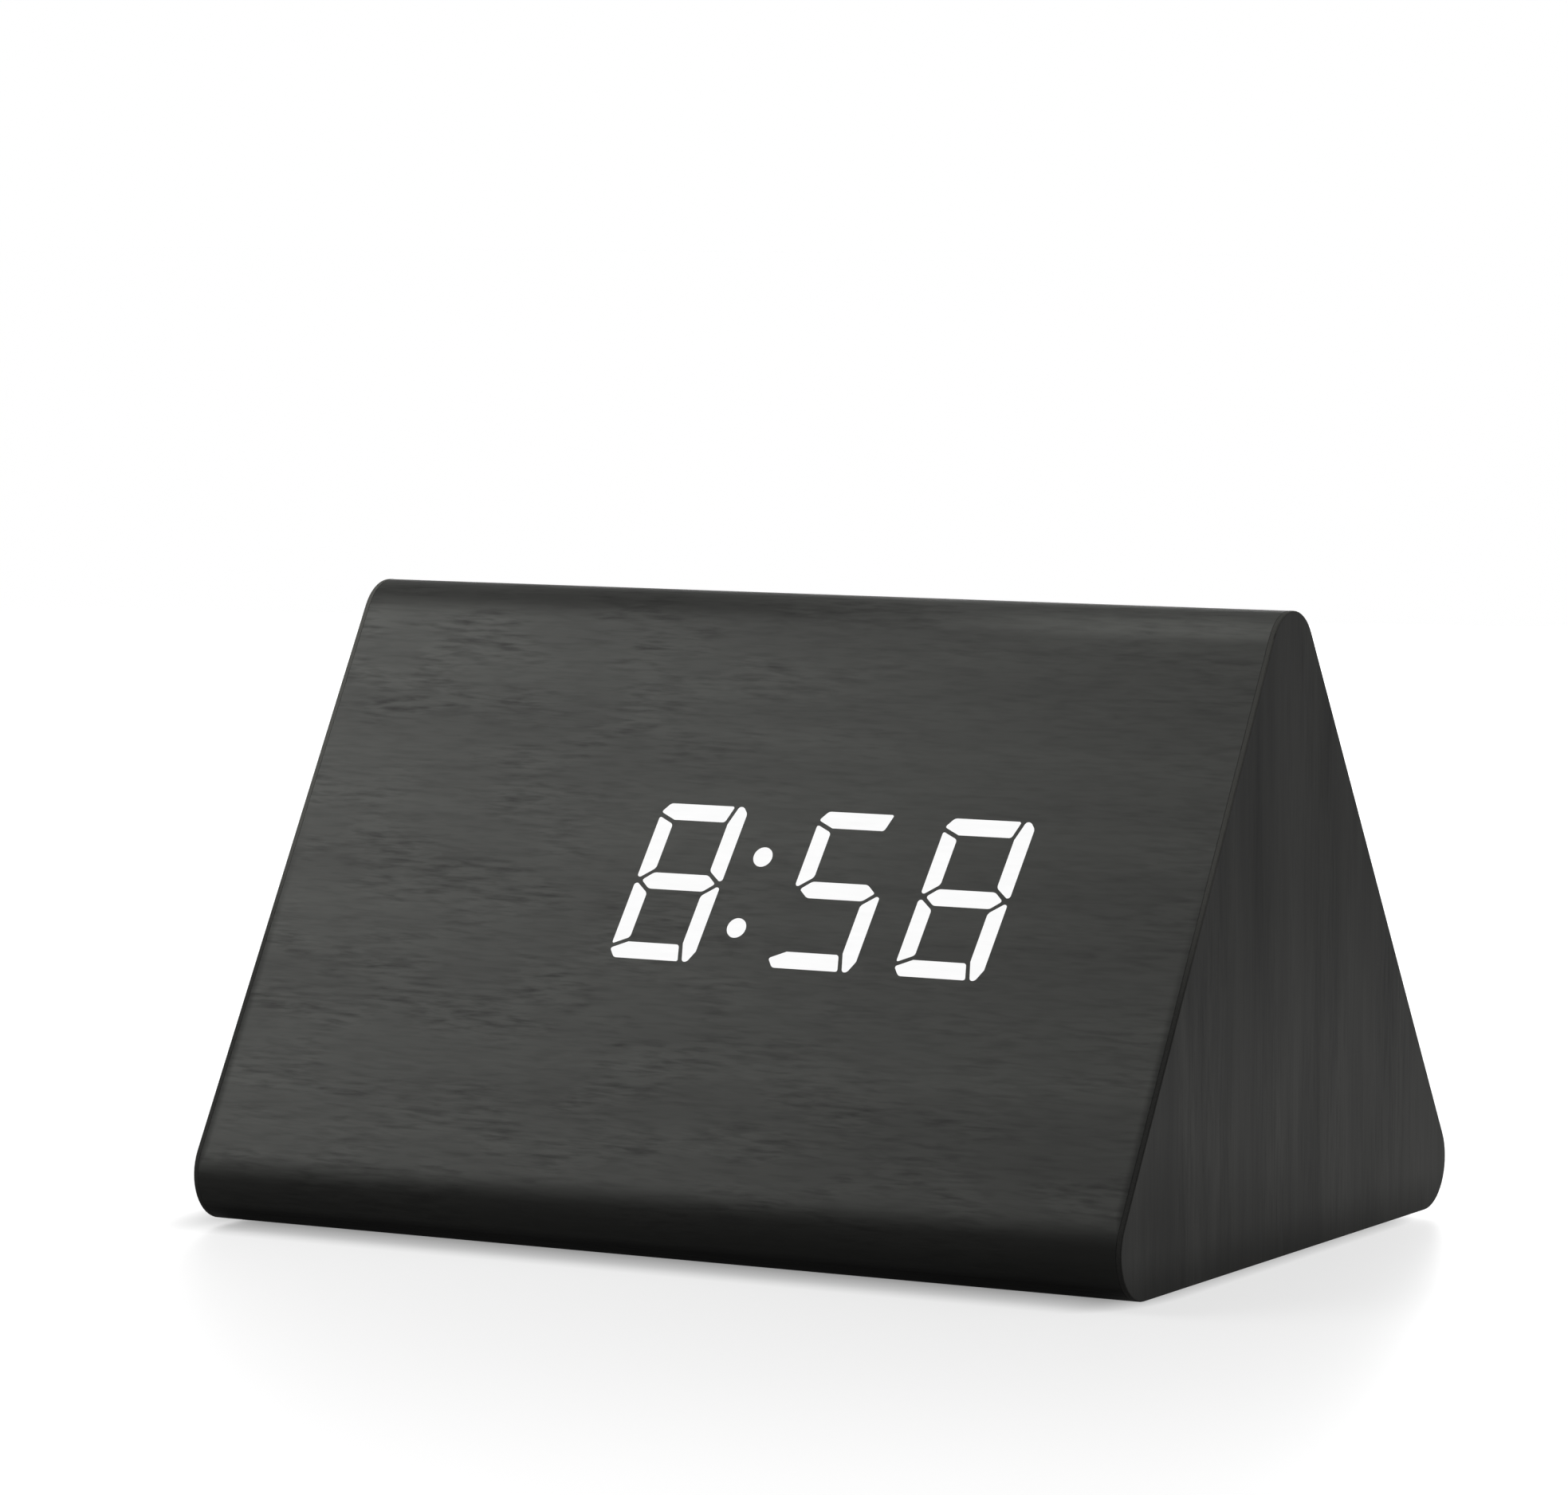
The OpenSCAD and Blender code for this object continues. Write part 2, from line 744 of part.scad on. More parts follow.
// Moulded tray with a flange let into the base, a groove and two bosses for the
// door's hinge, pockets for the contact plates and a scoop for a fingertip
module battery_box() {
    color("#232425") difference() {
        union() {
            block([-box_x, box_front, foot_h], [box_x, box_back, box_z]);
            translate([0, 0, foot_h])
                linear_extrude(flange_z - foot_h) rounded_rect(box_flange, 3);
            for (side = [0, 1]) {
                mirror([side, 0, 0])
                    block([box_x - cut, hinge_y - 3.2, foot_h], [boss_x, box_back, hinge_z + 3]);
            }
        }
        block([-bay.x / 2, bay_y - bay.y / 2, foot_h - cut], [bay.x / 2, bay_y + bay.y / 2, bay_z]);
        block([-recess_x, door_y - 0.3, foot_h - cut], [recess_x, hinge_y, foot_h + door_t + 0.15]);
        block([-recess_x, hinge_y, foot_h - cut], [recess_x, hinge_y + groove_r, hinge_z]);
        translate([-recess_x, hinge_y, hinge_z]) rotate([0, 90, 0])
            cylinder(r = groove_r, h = 2 * recess_x);
        translate([-boss_x + 0.4, hinge_y, hinge_z]) rotate([0, 90, 0])
            cylinder(r = pin_r + pin_gap, h = 2 * boss_x - 0.8);
        translate([0, door_y - 0.3, foot_h - cut]) cylinder(r = scoop_r, h = 1.2 + cut);
        block([-latch_w / 2 - 0.4, pocket_y, foot_h - cut],
              [latch_w / 2 + 0.4, box_front + bay_wall + cut, foot_h + latch_h + 0.8]);
        block([-latch_w / 2 - 0.4, box_front - cut, foot_h + 3.2],
              [latch_w / 2 + 0.4, pocket_y + cut, foot_h + 4.8]);
        at_corners([box_screws.x, box_screws.y])
            translate([0, 0, foot_h]) mirror([0, 0, 1]) flat_screw_hole(3, 0.9, 1.9);
        plates(0.1);
        tabs(0.15);
    }
}

module battery_box_screws() {
    color("#3a3c3e") translate([0, 0, foot_h]) at_corners(box_screws)
        mirror([0, 0, 1]) flat_screw(4.8, 0.9, 1.9);
}

function cell_y(index) = bay_y + (index - (cell_count - 1) / 2) * cell_pitch;

// Contact plate let into an end wall, from one cell to another
module plate(side, first, last, gap) {
    low = [0, cell_y(first) - 4 - gap, cell_z - plate_h / 2 - gap];
    high = [plate_t + gap, cell_y(last) + 4 + gap, cell_z + plate_h / 2 + gap];
    mirror([side < 0 ? 1 : 0, 0, 0]) translate([bay.x / 2, 0, 0]) block(low, high);
}

// The plates join the cells in a row and end in two terminals on the right
module plates(gap) {
    plate(1, 0, 0, gap);
    plate(1, 1, 2, gap);
    plate(1, 3, 3, gap);
    plate(-1, 0, 1, gap);
    plate(-1, 2, 3, gap);
}

// Solder tabs of the two terminals, through the end wall
module tabs(gap) {
    for (index = [0, cell_count - 1]) {
        block([bay.x / 2 + plate_t / 2, cell_y(index) - 1 - gap, tab_z - 0.2 - gap],
              [tab_x, cell_y(index) + 1 + gap, tab_z + 0.2 + gap]);
    }
}

module contact_plates() {
    color("#c8cacb") {
        plates(0);
        tabs(0);
    }
}

// Path of a contact spring from its plate at 0 to its cell, along X
function coil_path() =
    let (
        steps = coil_turns * 8,
        run = spring_len - 2 * wire_d,
        at = function (share) let (
            r = coil_r[0] + (coil_r[1] - coil_r[0]) * share,
            out = [0, cos(360 * coil_turns * share), sin(360 * coil_turns * share)]
        ) [[wire_d + run * share, 0, 0] + r * out, out]
    )
    concat(
        [[[0, coil_r[0], 0], [0, 1, 0]]],
        [for (i = [0 : steps]) at(i / steps)],
        [[[spring_len, coil_r[1], 0], [0, 1, 0]]]
    );

// Least clear distance between points of the coil half a turn or more apart
coil_gap = let (path = coil_path()) min([
    for (i = [0 : len(path) - 1], k = [0 : len(path) - 1])
        if (k - i >= 4) norm(path[k][0] - path[i][0])
]) - wire_d;
echo(str("least gap of a contact spring to itself: ", coil_gap, " mm"));

module contact_springs() {
    color("#c8cacb") for (index = [0 : cell_count - 1]) {
        mirror([index % 2, 0, 0]) translate([-bay.x / 2, cell_y(index), cell_z])
            tube(coil_path(), wire_d / 2, 6);
    }
}

// Dry cell along X, from its flat end at 0 to its contact
module cell() {
    r = cell_d / 2;
    can = cell_len - 1.2;
    rotate([0, 90, 0]) rotate_extrude() polygon([
        [0, 0.2], [3.6, 0.2], [3.9, 0], [r - 0.4, 0], [r, 0.4], [r, can - 0.5],
        [r - 0.5, can], [1.9, can], [1.9, cell_len - 0.2], [1.7, cell_len], [0, cell_len]
    ]);
}

module cells() {
    color("#5d666d") for (index = [0 : cell_count - 1]) {
        mirror([index % 2, 0, 0])
            translate([-bay.x / 2 + spring_len, cell_y(index), cell_z]) cell();
    }
}

// Lead from a terminal tab up to the control board, as one easy curve with straight ends
module lead(index, pad) {
    inward = [0, -sin(slope), -cos(slope)];
    level = control_w - board_t + corner_r;
    first = [tab_x, cell_y(index), tab_z];
    last = [pad.x, mid_y - pad.y * cos(slope), low_z + pad.y * sin(slope)] - level * inward;
    from = first + [2 * lead_r, 0, 0];
    to = last + 2 * lead_r * inward;
    bend = [from + [9, 0, 0], to + 12 * inward];
    side = [0, -cos(slope), sin(slope)];
    steps = 16;
    tube(concat(
        [[first, side]],
        [for (i = [0 : steps])
            let (t = i / steps, s = 1 - t)
            [s * s * s * from + 3 * s * s * t * bend[0] + 3 * s * t * t * bend[1] + t * t * t * to, side]],
        [[last, side]]
    ), lead_r, 8);
}

module red_lead() {
    color("#a3221c") lead(0, [29, panel_up + 6]);
}

module black_lead() {
    color("#202020") lead(cell_count - 1, [29, panel_up - 5]);
}

// Flat door with a hinge rail and two pins along its back edge, two ribs that
// hold the cells and a latch tongue at its front edge
module battery_door() {
    color("#28292a") difference() {
        union() {
            block([-door_x, door_y, foot_h], [door_x, hinge_y, foot_h + door_t]);
            translate([-door_x, hinge_y, hinge_z]) rotate([0, 90, 0])
                cylinder(r = hinge_r, h = 2 * door_x);
            translate([-door_x - pin_len, hinge_y, hinge_z]) rotate([0, 90, 0])
                cylinder(r = pin_r, h = 2 * (door_x + pin_len));
            for (x = [-14, 14]) {
                block([x - 0.7, bay_y - bay.y / 2 + 3, foot_h + door_t - 0.1],
                      [x + 0.7, hinge_y - 4, foot_h + door_t + 0.6]);
            }
            block([-latch_w / 2, latch_y, foot_h + door_t - 0.1],
                  [latch_w / 2, latch_y + latch_t, foot_h + latch_h]);
            block([-latch_w / 2, latch_y - 0.15, foot_h + 3.6],
                  [latch_w / 2, latch_y + 0.1, foot_h + 4.4]);
        }
        for (i = [0 : 4]) {
            translate([0, door_y + 4 + 1.6 * i, foot_h]) cube([14 - 2 * i, 0.7, 0.8], center = true);
        }
    }
}

module foot_pads() {
    color("#161616") at_corners([body_len / 2 - 10, mid_y - 11.5]) cylinder(r = 4, h = foot_h);
}

shell();
left_end_panel();
right_end_panel();
veneer_wrap();
left_end_veneer();
right_end_veneer();
lit_segments();
diffuser_film();
light_box();
display_board();
segment_leds();
clock_chip();
driver_chip();
crystal();
backup_cell_holder();
backup_cell();
display_screws();
control_panel();
control_panel_screws();
set_button();
up_button();
down_button();
set_plunger();
up_plunger();
down_plunger();
switch_bodies();
control_board();
control_board_screws();
power_inlet();
buzzer();
microphone();
thermistor();
ribbon_cable();
ribbon_sockets();
battery_box();
battery_box_screws();
contact_plates();
contact_springs();
cells();
red_lead();
black_lead();
battery_door();
foot_pads();
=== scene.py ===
import math
from functools import partial

import bmesh
import bpy
from mathutils import Matrix, Vector


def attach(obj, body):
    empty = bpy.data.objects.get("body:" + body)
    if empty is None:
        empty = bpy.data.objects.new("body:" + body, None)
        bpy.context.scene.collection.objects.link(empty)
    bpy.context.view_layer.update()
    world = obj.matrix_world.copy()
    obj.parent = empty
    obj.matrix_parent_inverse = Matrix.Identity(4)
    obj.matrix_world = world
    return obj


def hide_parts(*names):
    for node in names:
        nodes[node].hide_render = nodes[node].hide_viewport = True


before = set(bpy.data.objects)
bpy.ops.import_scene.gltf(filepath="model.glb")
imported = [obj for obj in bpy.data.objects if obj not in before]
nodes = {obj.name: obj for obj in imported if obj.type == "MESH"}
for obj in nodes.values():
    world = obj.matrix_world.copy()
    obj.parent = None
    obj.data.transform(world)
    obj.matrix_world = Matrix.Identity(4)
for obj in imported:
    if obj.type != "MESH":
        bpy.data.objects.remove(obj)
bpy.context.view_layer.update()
scene = bpy.context.scene

# Sizes of the solids in millimetres, as the part's source has them
MM = 0.001
BODY_LEN, BODY_DEPTH, BODY_H = 120, 83.6, 72.2
CORNER_R, VENEER_T, FOOT_H = 5.6, 0.6, 0.8
FOOT_R, FEET_APART = 4, (100, 49.4)
PANEL_UP, PANEL_SCREWS_APART, TRAY_SCREWS_APART = 26, 70, (65.2, 38)
BUTTON_R, BUTTON_OUT, BUTTON_MID, BUTTON_PITCH = 3, 1.4, 4, 10
BUTTON_STOP, BUTTON_COLLAR, BUTTON_FOOT = -1.7, 0.9, -4.6
BUTTON_COLLAR_R, BUTTON_POST_R = BUTTON_R + 0.8, 1.6
INLET_U, INLET_PIN_R = -18, 0.65
CELL_R, CELL_LEN, CELL_PITCH, CELL_Z = 5.25, 44.5, 10.9, 8.45
BAY_X, BAY_Y = 50, -0.75
SPRING_LEN, WIRE_R, COIL_TURNS, COIL_R = 5.5, 0.35, 3, (3.5, 2.5)
CELL_ROWS = [BAY_Y + (row - 1.5) * CELL_PITCH for row in range(4)]
WRAP_END = BODY_LEN / 2 - VENEER_T
MID_Y = BODY_DEPTH / 2 - CORNER_R
LOW_Z = FOOT_H + CORNER_R
TOP_Z = FOOT_H + BODY_H - CORNER_R
SLOPE = math.atan2(TOP_Z - LOW_Z, MID_Y)

# Places of pieces: millimetres in, metres out
IN_PLACE = Matrix.Scale(MM, 4)
ON_FRONT = (
    IN_PLACE
    @ Matrix.Translation((0, -MID_Y, LOW_Z))
    @ Matrix.Rotation(SLOPE, 4, "X")
    @ Matrix.Translation((0, 0, CORNER_R))
)
ON_PANEL = Matrix.Rotation(math.pi, 4, "Z") @ ON_FRONT @ Matrix.Translation((0, PANEL_UP, 0))
UNDER_BASE = IN_PLACE @ Matrix.Translation((0, 0, FOOT_H)) @ Matrix.Rotation(math.pi, 4, "X")
FROM_METRES = Matrix.Scale(1 / MM, 4)
UNPLACED = Matrix.Identity(4)


# Camera: the photograph's viewing angle, in degrees and millimetres
CAMERA_AZIMUTH, CAMERA_ELEVATION, CAMERA_ROLL = 29.849, 5.086, -0.147
CAMERA_AIM_RIGHT, CAMERA_AIM_UP, CAMERA_DISTANCE = -4.719, 54.219, 794.85
SENSOR_MM, LENS_MM = 36, 156.8


def set_camera():
    """The camera's place, turn and lens, as fitted to the body's outline in the photograph."""
    azimuth = math.radians(CAMERA_AZIMUTH)
    elevation = math.radians(CAMERA_ELEVATION)
    roll = math.radians(CAMERA_ROLL)
    back = Vector((
        math.sin(azimuth) * math.cos(elevation),
        -math.cos(azimuth) * math.cos(elevation),
        math.sin(elevation),
    ))
    right = Vector((math.cos(azimuth), math.sin(azimuth), 0))
    up = back.cross(right)
    right, up = (
        math.cos(roll) * right + math.sin(roll) * up,
        math.cos(roll) * up - math.sin(roll) * right,
    )
    place = CAMERA_AIM_RIGHT * right + CAMERA_AIM_UP * up + CAMERA_DISTANCE * back
    # The fit was made from the body's underside, which the feet lift
    place.z += FOOT_H
    data = bpy.data.cameras.new("camera")
    data.sensor_width = SENSOR_MM
    data.lens = LENS_MM
    data.clip_start = 0.01
    camera = bpy.data.objects.new("camera", data)
    turn = Matrix((right, up, back)).transposed().to_4x4()
    camera.matrix_world = Matrix.Translation(place * MM) @ turn
    scene.collection.objects.link(camera)
    scene.camera = camera


set_camera()


# Nodes and colours

def linear(hex_colour):
    """A colour written as sRGB hex, as linear values with full alpha."""
    parts = [int(hex_colour[i:i + 2], 16) / 255 for i in (1, 3, 5)]
    return tuple(
        p / 12.92 if p <= 0.04045 else ((p + 0.055) / 1.055) ** 2.4 for p in parts
    ) + (1.0,)


def add(tree, kind, inputs=None, **settings):
    """Adds a node to a tree with its settings. Each input is set to a value, or linked to
    a socket or to the first output of a node."""
    made = tree.nodes.new(kind)
    for key, value in settings.items():
        setattr(made, key, value)
    for key, value in (inputs or {}).items():
        if isinstance(value, bpy.types.Node):
            value = next(output for output in value.outputs if output.enabled)
        if isinstance(value, bpy.types.NodeSocket):
            tree.links.new(value, made.inputs[key])
        else:
            made.inputs[key].default_value = value
    return made


def new_finish(name):
    """An empty material, and the function that adds nodes to it."""
    material = bpy.data.materials.new(name)
    material.use_nodes = True
    material.node_tree.nodes.clear()
    return material, partial(add, material.node_tree)


# Finishes

# Stained veneer: the colour of its darkest painted shade, the sheen of its lacquer, its tone
# without any figure, how pale a mark may be, and how far apart the layers of its figure are drawn
DARKEST_PAINTED_SHADE, LACQUER_SHEEN = "#161615", 0.04
MIDDLE_TONE, PALEST_MARK, LAYER_STEP = 0.52, 0.08, 3.7


def stained_veneer(name, along, dark, light, figure, seed, relief_mm, painted_shading, marked):
    """Open-pored wood veneer, stained black and satin lacquered. Short soft streaks and
    fine pores lie along the grain, in patches, over broad bands of tone. Painted shade darkens
    it by the share that the shading function gives, and a painted highlight makes it paler where
    that is below nought; the patches are as strong as marked() says. The figure gives each
    layer's length and width in millimetres and its share in the tone."""
    material, node = new_finish(name)
    place = node("ShaderNodeTexCoord").outputs["Object"]
    at = node("ShaderNodeSeparateXYZ", {"Vector": place}).outputs
    layers = {}
    for index, (word, (length, width, _)) in enumerate(figure.items()):
        size = [width * MM] * 3
        size["XYZ".index(along)] = length * MM
        fitted = node("ShaderNodeMapping", {"Vector": place, "Scale": size}, vector_type="TEXTURE")
        layers[word] = node("ShaderNodeTexNoise", {
            "Vector": fitted, "W": seed + LAYER_STEP * index, "Scale": 1.0,
            "Detail": 2.0, "Distortion": 0.3,
        }, noise_dimensions="4D")
    patch = node("ShaderNodeMapRange", {
        "Value": layers["patch"], "From Min": 0.4, "From Max": 0.62,
        "To Min": 0.35, "To Max": marked(node, place),
    }, interpolation_type="SMOOTHSTEP")
    tone, height = MIDDLE_TONE, 0.0
    for word in ("band", "fibre", "streak", "pore"):
        share = figure[word][2]
        swing = node("ShaderNodeMath", {0: layers[word], 1: 0.5}, operation="SUBTRACT")
        if word in ("streak", "pore"):
            swing = node("ShaderNodeMath", {0: swing, 1: PALEST_MARK}, operation="MINIMUM")
            swing = node("ShaderNodeMath", {0: swing, 1: patch}, operation="MULTIPLY")
            height = node("ShaderNodeMath", {0: swing, 1: height}, operation="ADD")
        tone = node("ShaderNodeMath", {0: swing, 1: share, 2: tone}, operation="MULTIPLY_ADD")
    stain = node("ShaderNodeMix", {
        "Factor": tone, "A": linear(dark), "B": linear(light),
    }, data_type="RGBA")
    # Painted shade darkens the base colour where the shading function gives more than nought, and
    # a painted highlight makes it paler where it gives less
    node("ShaderNodeOutputMaterial", {"Surface": node("ShaderNodeBsdfPrincipled", {
        "Base Color": node("ShaderNodeMix", {
            "Factor": painted_shading(node, at), "A": stain, "B": linear(DARKEST_PAINTED_SHADE),
        }, data_type="RGBA", clamp_factor=False),
        "Roughness": node("ShaderNodeMapRange", {
            "Value": layers["fibre"], "From Min": 0.3, "From Max": 0.7,
            "To Min": 0.54, "To Max": 0.66,
        }),
        "Specular IOR Level": LACQUER_SHEEN,
        "Normal": node("ShaderNodeBump", {
            "Height": height, "Distance": relief_mm * MM, "Strength": 0.7,
        }),
    })})
    return material


def painted_shade_and_highlight_on_wrap(node, at):
    """Painted shade on the wrapped sheet: darker round the lower edges, beside the lower part of
    the seams, and along the ridge, with a painted highlight that makes the ridge paler towards the
    right."""
    # Painted shade round the lower edges, deepest just above the floor and fading on the flat
    # underside
    tilted = node("ShaderNodeMath", {0: at["X"], 1: -0.012, 2: at["Z"]}, operation="MULTIPLY_ADD")
    depth = node("ShaderNodeMapRange", {
        "Value": at["Z"], "From Min": 3.6 * MM, "From Max": 2.3 * MM,
        "To Min": 0.84, "To Max": 1.05,
    }, interpolation_type="SMOOTHSTEP")
    low = node("ShaderNodeMapRange", {
        "Value": tilted, "From Min": 10.4 * MM, "From Max": 6.6 * MM,
        "To Max": node("ShaderNodeMapRange", {
            "Value": node("ShaderNodeMath", {0: at["Y"]}, operation="ABSOLUTE"),
            "From Min": 22 * MM, "From Max": MID_Y * MM, "To Max": depth,
        }, interpolation_type="SMOOTHSTEP"),
    }, interpolation_type="SMOOTHSTEP")
    # Painted shade beside the lower part of the seams
    seam = node("ShaderNodeMapRange", {
        "Value": node("ShaderNodeMath", {0: at["X"]}, operation="ABSOLUTE"),
        "From Min": (WRAP_END - 1.1) * MM, "From Max": WRAP_END * MM,
        "To Max": node("ShaderNodeMapRange", {
            "Value": at["Z"], "From Min": 48 * MM, "From Max": 26 * MM, "To Max": 0.6,
        }),
    }, interpolation_type="SMOOTHSTEP")
    # Painted shade along the ridge, strongest on the left
    ridge = node("ShaderNodeMapRange", {
        "Value": at["Z"], "From Min": 69 * MM, "From Max": 71.8 * MM,
        "To Max": node("ShaderNodeMapRange", {
            "Value": at["X"], "From Min": -25 * MM, "From Max": 32 * MM,
            "To Min": 0.72, "To Max": 0.14,
        }, interpolation_type="SMOOTHSTEP"),
    }, interpolation_type="SMOOTHSTEP")
    # Painted highlight: a paler band along the ridge towards the right
    from_middle = node("ShaderNodeMath", {0: at["Z"], 1: 70.95 * MM}, operation="SUBTRACT")
    painted_paler = node("ShaderNodeMapRange", {
        "Value": node("ShaderNodeMath", {0: from_middle}, operation="ABSOLUTE"),
        "From Min": 1.75 * MM, "From Max": 0.2 * MM,
        "To Max": node("ShaderNodeMapRange", {
            "Value": at["X"], "From Min": 5 * MM, "From Max": 45 * MM, "To Max": -0.75,
        }, interpolation_type="SMOOTHSTEP"),
    }, interpolation_type="SMOOTHSTEP")
    ridge = node("ShaderNodeMath", {0: ridge, 1: painted_paler}, operation="ADD")
    edges = node("ShaderNodeMath", {0: low, 1: seam}, operation="MAXIMUM")
    return node("ShaderNodeMath", {0: edges, 1: ridge}, operation="ADD")


def painted_shade_on_ends(node, at):
    """Painted shade on the end sheets: darker along the bottom rim, in a wedge that is taller at
    the front, and up towards the top."""
    rim = node("ShaderNodeMapRange", {
        "Value": at["Z"], "From Min": 6.5 * MM, "From Max": 1.2 * MM, "To Max": 0.36,
    }, interpolation_type="SMOOTHSTEP")
    tilted = node("ShaderNodeMath", {0: at["Y"], 1: 0.22, 2: at["Z"]}, operation="MULTIPLY_ADD")
    wedge = node("ShaderNodeMapRange", {
        "Value": tilted, "From Min": 13.5 * MM, "From Max": 0.0, "To Max": 0.38,
    }, interpolation_type="SMOOTHSTEP")
    low = node("ShaderNodeMath", {0: rim, 1: wedge}, operation="ADD")
    high = node("ShaderNodeMapRange", {
        "Value": at["Z"], "From Min": 16 * MM, "From Max": 46 * MM, "To Max": 0.45,
    }, interpolation_type="SMOOTHSTEP")
    return node("ShaderNodeMath", {0: low, 1: high}, operation="MAXIMUM")


def calm_by_the_display(node, place):
    """The marks of the wrapped sheet fade towards the display and the upper right of the front."""
    calmest = (32 * MM, -16 * MM, 50 * MM)
    return node("ShaderNodeMapRange", {
        "Value": node("ShaderNodeVectorMath", {0: place, 1: calmest}, operation="DISTANCE"),
        "From Min": 8 * MM, "From Max": 50 * MM, "To Min": 0.25, "To Max": 1.1,
    })


def evenly(node, place):
    """The marks of a sheet are as strong all over it."""
    return 1.0


def cut_edge(name):
    """Cut edge of stained veneer: dark and open, because the stain soaks in there, with painted
    light that makes it paler towards the ridge."""
    material, node = new_finish(name)
    place = node("ShaderNodeTexCoord").outputs["Object"]
    fibre = node("ShaderNodeTexNoise", {"Vector": place, "Scale": 1 / (0.2 * MM)})
    # Painted light: the cut edge is paler towards the top
    painted_paler = node("ShaderNodeMapRange", {
        "Value": node("ShaderNodeSeparateXYZ", {"Vector": place}).outputs["Z"],
        "From Min": 28 * MM, "From Max": 48 * MM, "To Max": 0.85,
    }, interpolation_type="SMOOTHSTEP")
    tone = node("ShaderNodeMath", {0: fibre, 1: 0.3, 2: painted_paler}, operation="MULTIPLY_ADD")
    node("ShaderNodeOutputMaterial", {"Surface": node("ShaderNodeBsdfPrincipled", {
        "Base Color": node("ShaderNodeMix", {
            "Factor": tone, "A": linear("#262625"), "B": linear("#4e4e4b"),
        }, data_type="RGBA"),
        "Roughness": 0.75,
        "Specular IOR Level": LACQUER_SHEEN,
        "Normal": node("ShaderNodeBump", {"Height": fibre, "Distance": 0.03 * MM}),
    })})
    return material


def glowing_veneer(name):
    """Veneer thinned and lit from behind: even white light, with the grain a faint shade."""
    material, node = new_finish(name)
    place = node("ShaderNodeTexCoord").outputs["Object"]
    fitted = node("ShaderNodeMapping", {
        "Vector": place, "Scale": (4 * MM, 0.5 * MM, 0.5 * MM),
    }, vector_type="TEXTURE")
    fibre = node("ShaderNodeTexNoise", {"Vector": fitted, "Scale": 1.0})
    node("ShaderNodeOutputMaterial", {"Surface": node("ShaderNodeBsdfPrincipled", {
        "Base Color": linear("#1c1c1c"),
        "Roughness": 0.55,
        "Specular IOR Level": LACQUER_SHEEN,
        "Emission Color": node("ShaderNodeMix", {
            "Factor": fibre, "A": linear("#f7f7f7"), "B": linear("#ffffff"),
        }, data_type="RGBA"),
        "Emission Strength": 0.99,
    })})
    return material


def moulded(name, low, high, rough, pit_mm, pit_depth=0.012):
    """Plastic moulded in a spark-eroded tool, or a film, resin or paint with as even a skin:
    fine pits soften the light. They are drawn about three times their real width, so that
    they show."""
    material, node = new_finish(name)
    place = node("ShaderNodeTexCoord").outputs["Object"]
    pits = node("ShaderNodeTexNoise", {"Vector": place, "Scale": 1 / (pit_mm * MM), "Detail": 3.0})
    cloud = node("ShaderNodeTexNoise", {"Vector": place, "Scale": 1 / (9 * MM), "Detail": 1.0})
    node("ShaderNodeOutputMaterial", {"Surface": node("ShaderNodeBsdfPrincipled", {
        "Base Color": node("ShaderNodeMix", {
            "Factor": cloud, "A": linear(low), "B": linear(high),
        }, data_type="RGBA"),
        "Roughness": node("ShaderNodeMapRange", {
            "Value": pits, "From Min": 0.3, "From Max": 0.7,
            "To Min": rough - 0.06, "To Max": rough + 0.06,
        }),
        "IOR": 1.5,
        "Specular IOR Level": 0.35,
        "Normal": node("ShaderNodeBump", {"Height": pits, "Distance": pit_depth * MM}),
    })})
    return material


def plated(name, low, high, rough, mark_mm):
    """Plated steel or drawn aluminium: bright, with a cloudy haze and fine marks along X."""
    material, node = new_finish(name)
    place = node("ShaderNodeTexCoord").outputs["Object"]
    fitted = node("ShaderNodeMapping", {
        "Vector": place, "Scale": (8 * mark_mm * MM, mark_mm * MM, mark_mm * MM),
    }, vector_type="TEXTURE")
    marks = node("ShaderNodeTexNoise", {"Vector": fitted, "Scale": 1.0})
    haze = node("ShaderNodeTexNoise", {"Vector": place, "Scale": 1 / (1.6 * MM)})
    node("ShaderNodeOutputMaterial", {"Surface": node("ShaderNodeBsdfPrincipled", {
        "Base Color": node("ShaderNodeMix", {
            "Factor": haze, "A": linear(low), "B": linear(high),
        }, data_type="RGBA"),
        "Metallic": 1.0,
        "Roughness": node("ShaderNodeMapRange", {
            "Value": haze, "From Min": 0.3, "From Max": 0.7,
            "To Min": rough - 0.05, "To Max": rough + 0.08,
        }),
        "Normal": node("ShaderNodeBump", {"Height": marks, "Distance": 0.004 * MM}),
    })})
    return material


def fibre_board(name):
    """Raw MDF: brown pressed wood flour with paler flecks of fibre, quite matt."""
    material, node = new_finish(name)
    place = node("ShaderNodeTexCoord").outputs["Object"]
    flour = node("ShaderNodeTexNoise", {"Vector": place, "Scale": 1 / (0.7 * MM), "Detail": 4.0})
    fitted = node("ShaderNodeMapping", {
        "Vector": place, "Scale": (1.4 * MM, 0.5 * MM, 0.5 * MM),
    }, vector_type="TEXTURE")
    fleck = node("ShaderNodeMapRange", {
        "Value": node("ShaderNodeTexNoise", {"Vector": fitted, "Scale": 1.0}),
        "From Min": 0.58, "From Max": 0.7, "To Max": 0.3,
    })
    tone = node("ShaderNodeMath", {0: flour, 1: 0.7, 2: fleck}, operation="MULTIPLY_ADD")
    node("ShaderNodeOutputMaterial", {"Surface": node("ShaderNodeBsdfPrincipled", {
        "Base Color": node("ShaderNodeMix", {
            "Factor": tone, "A": linear("#57402a"), "B": linear("#8a6d4b"),
        }, data_type="RGBA"),
        "Roughness": 0.9,
        "Specular IOR Level": 0.2,
        "Normal": node("ShaderNodeBump", {"Height": flour, "Distance": 0.05 * MM}),
    })})
    return material


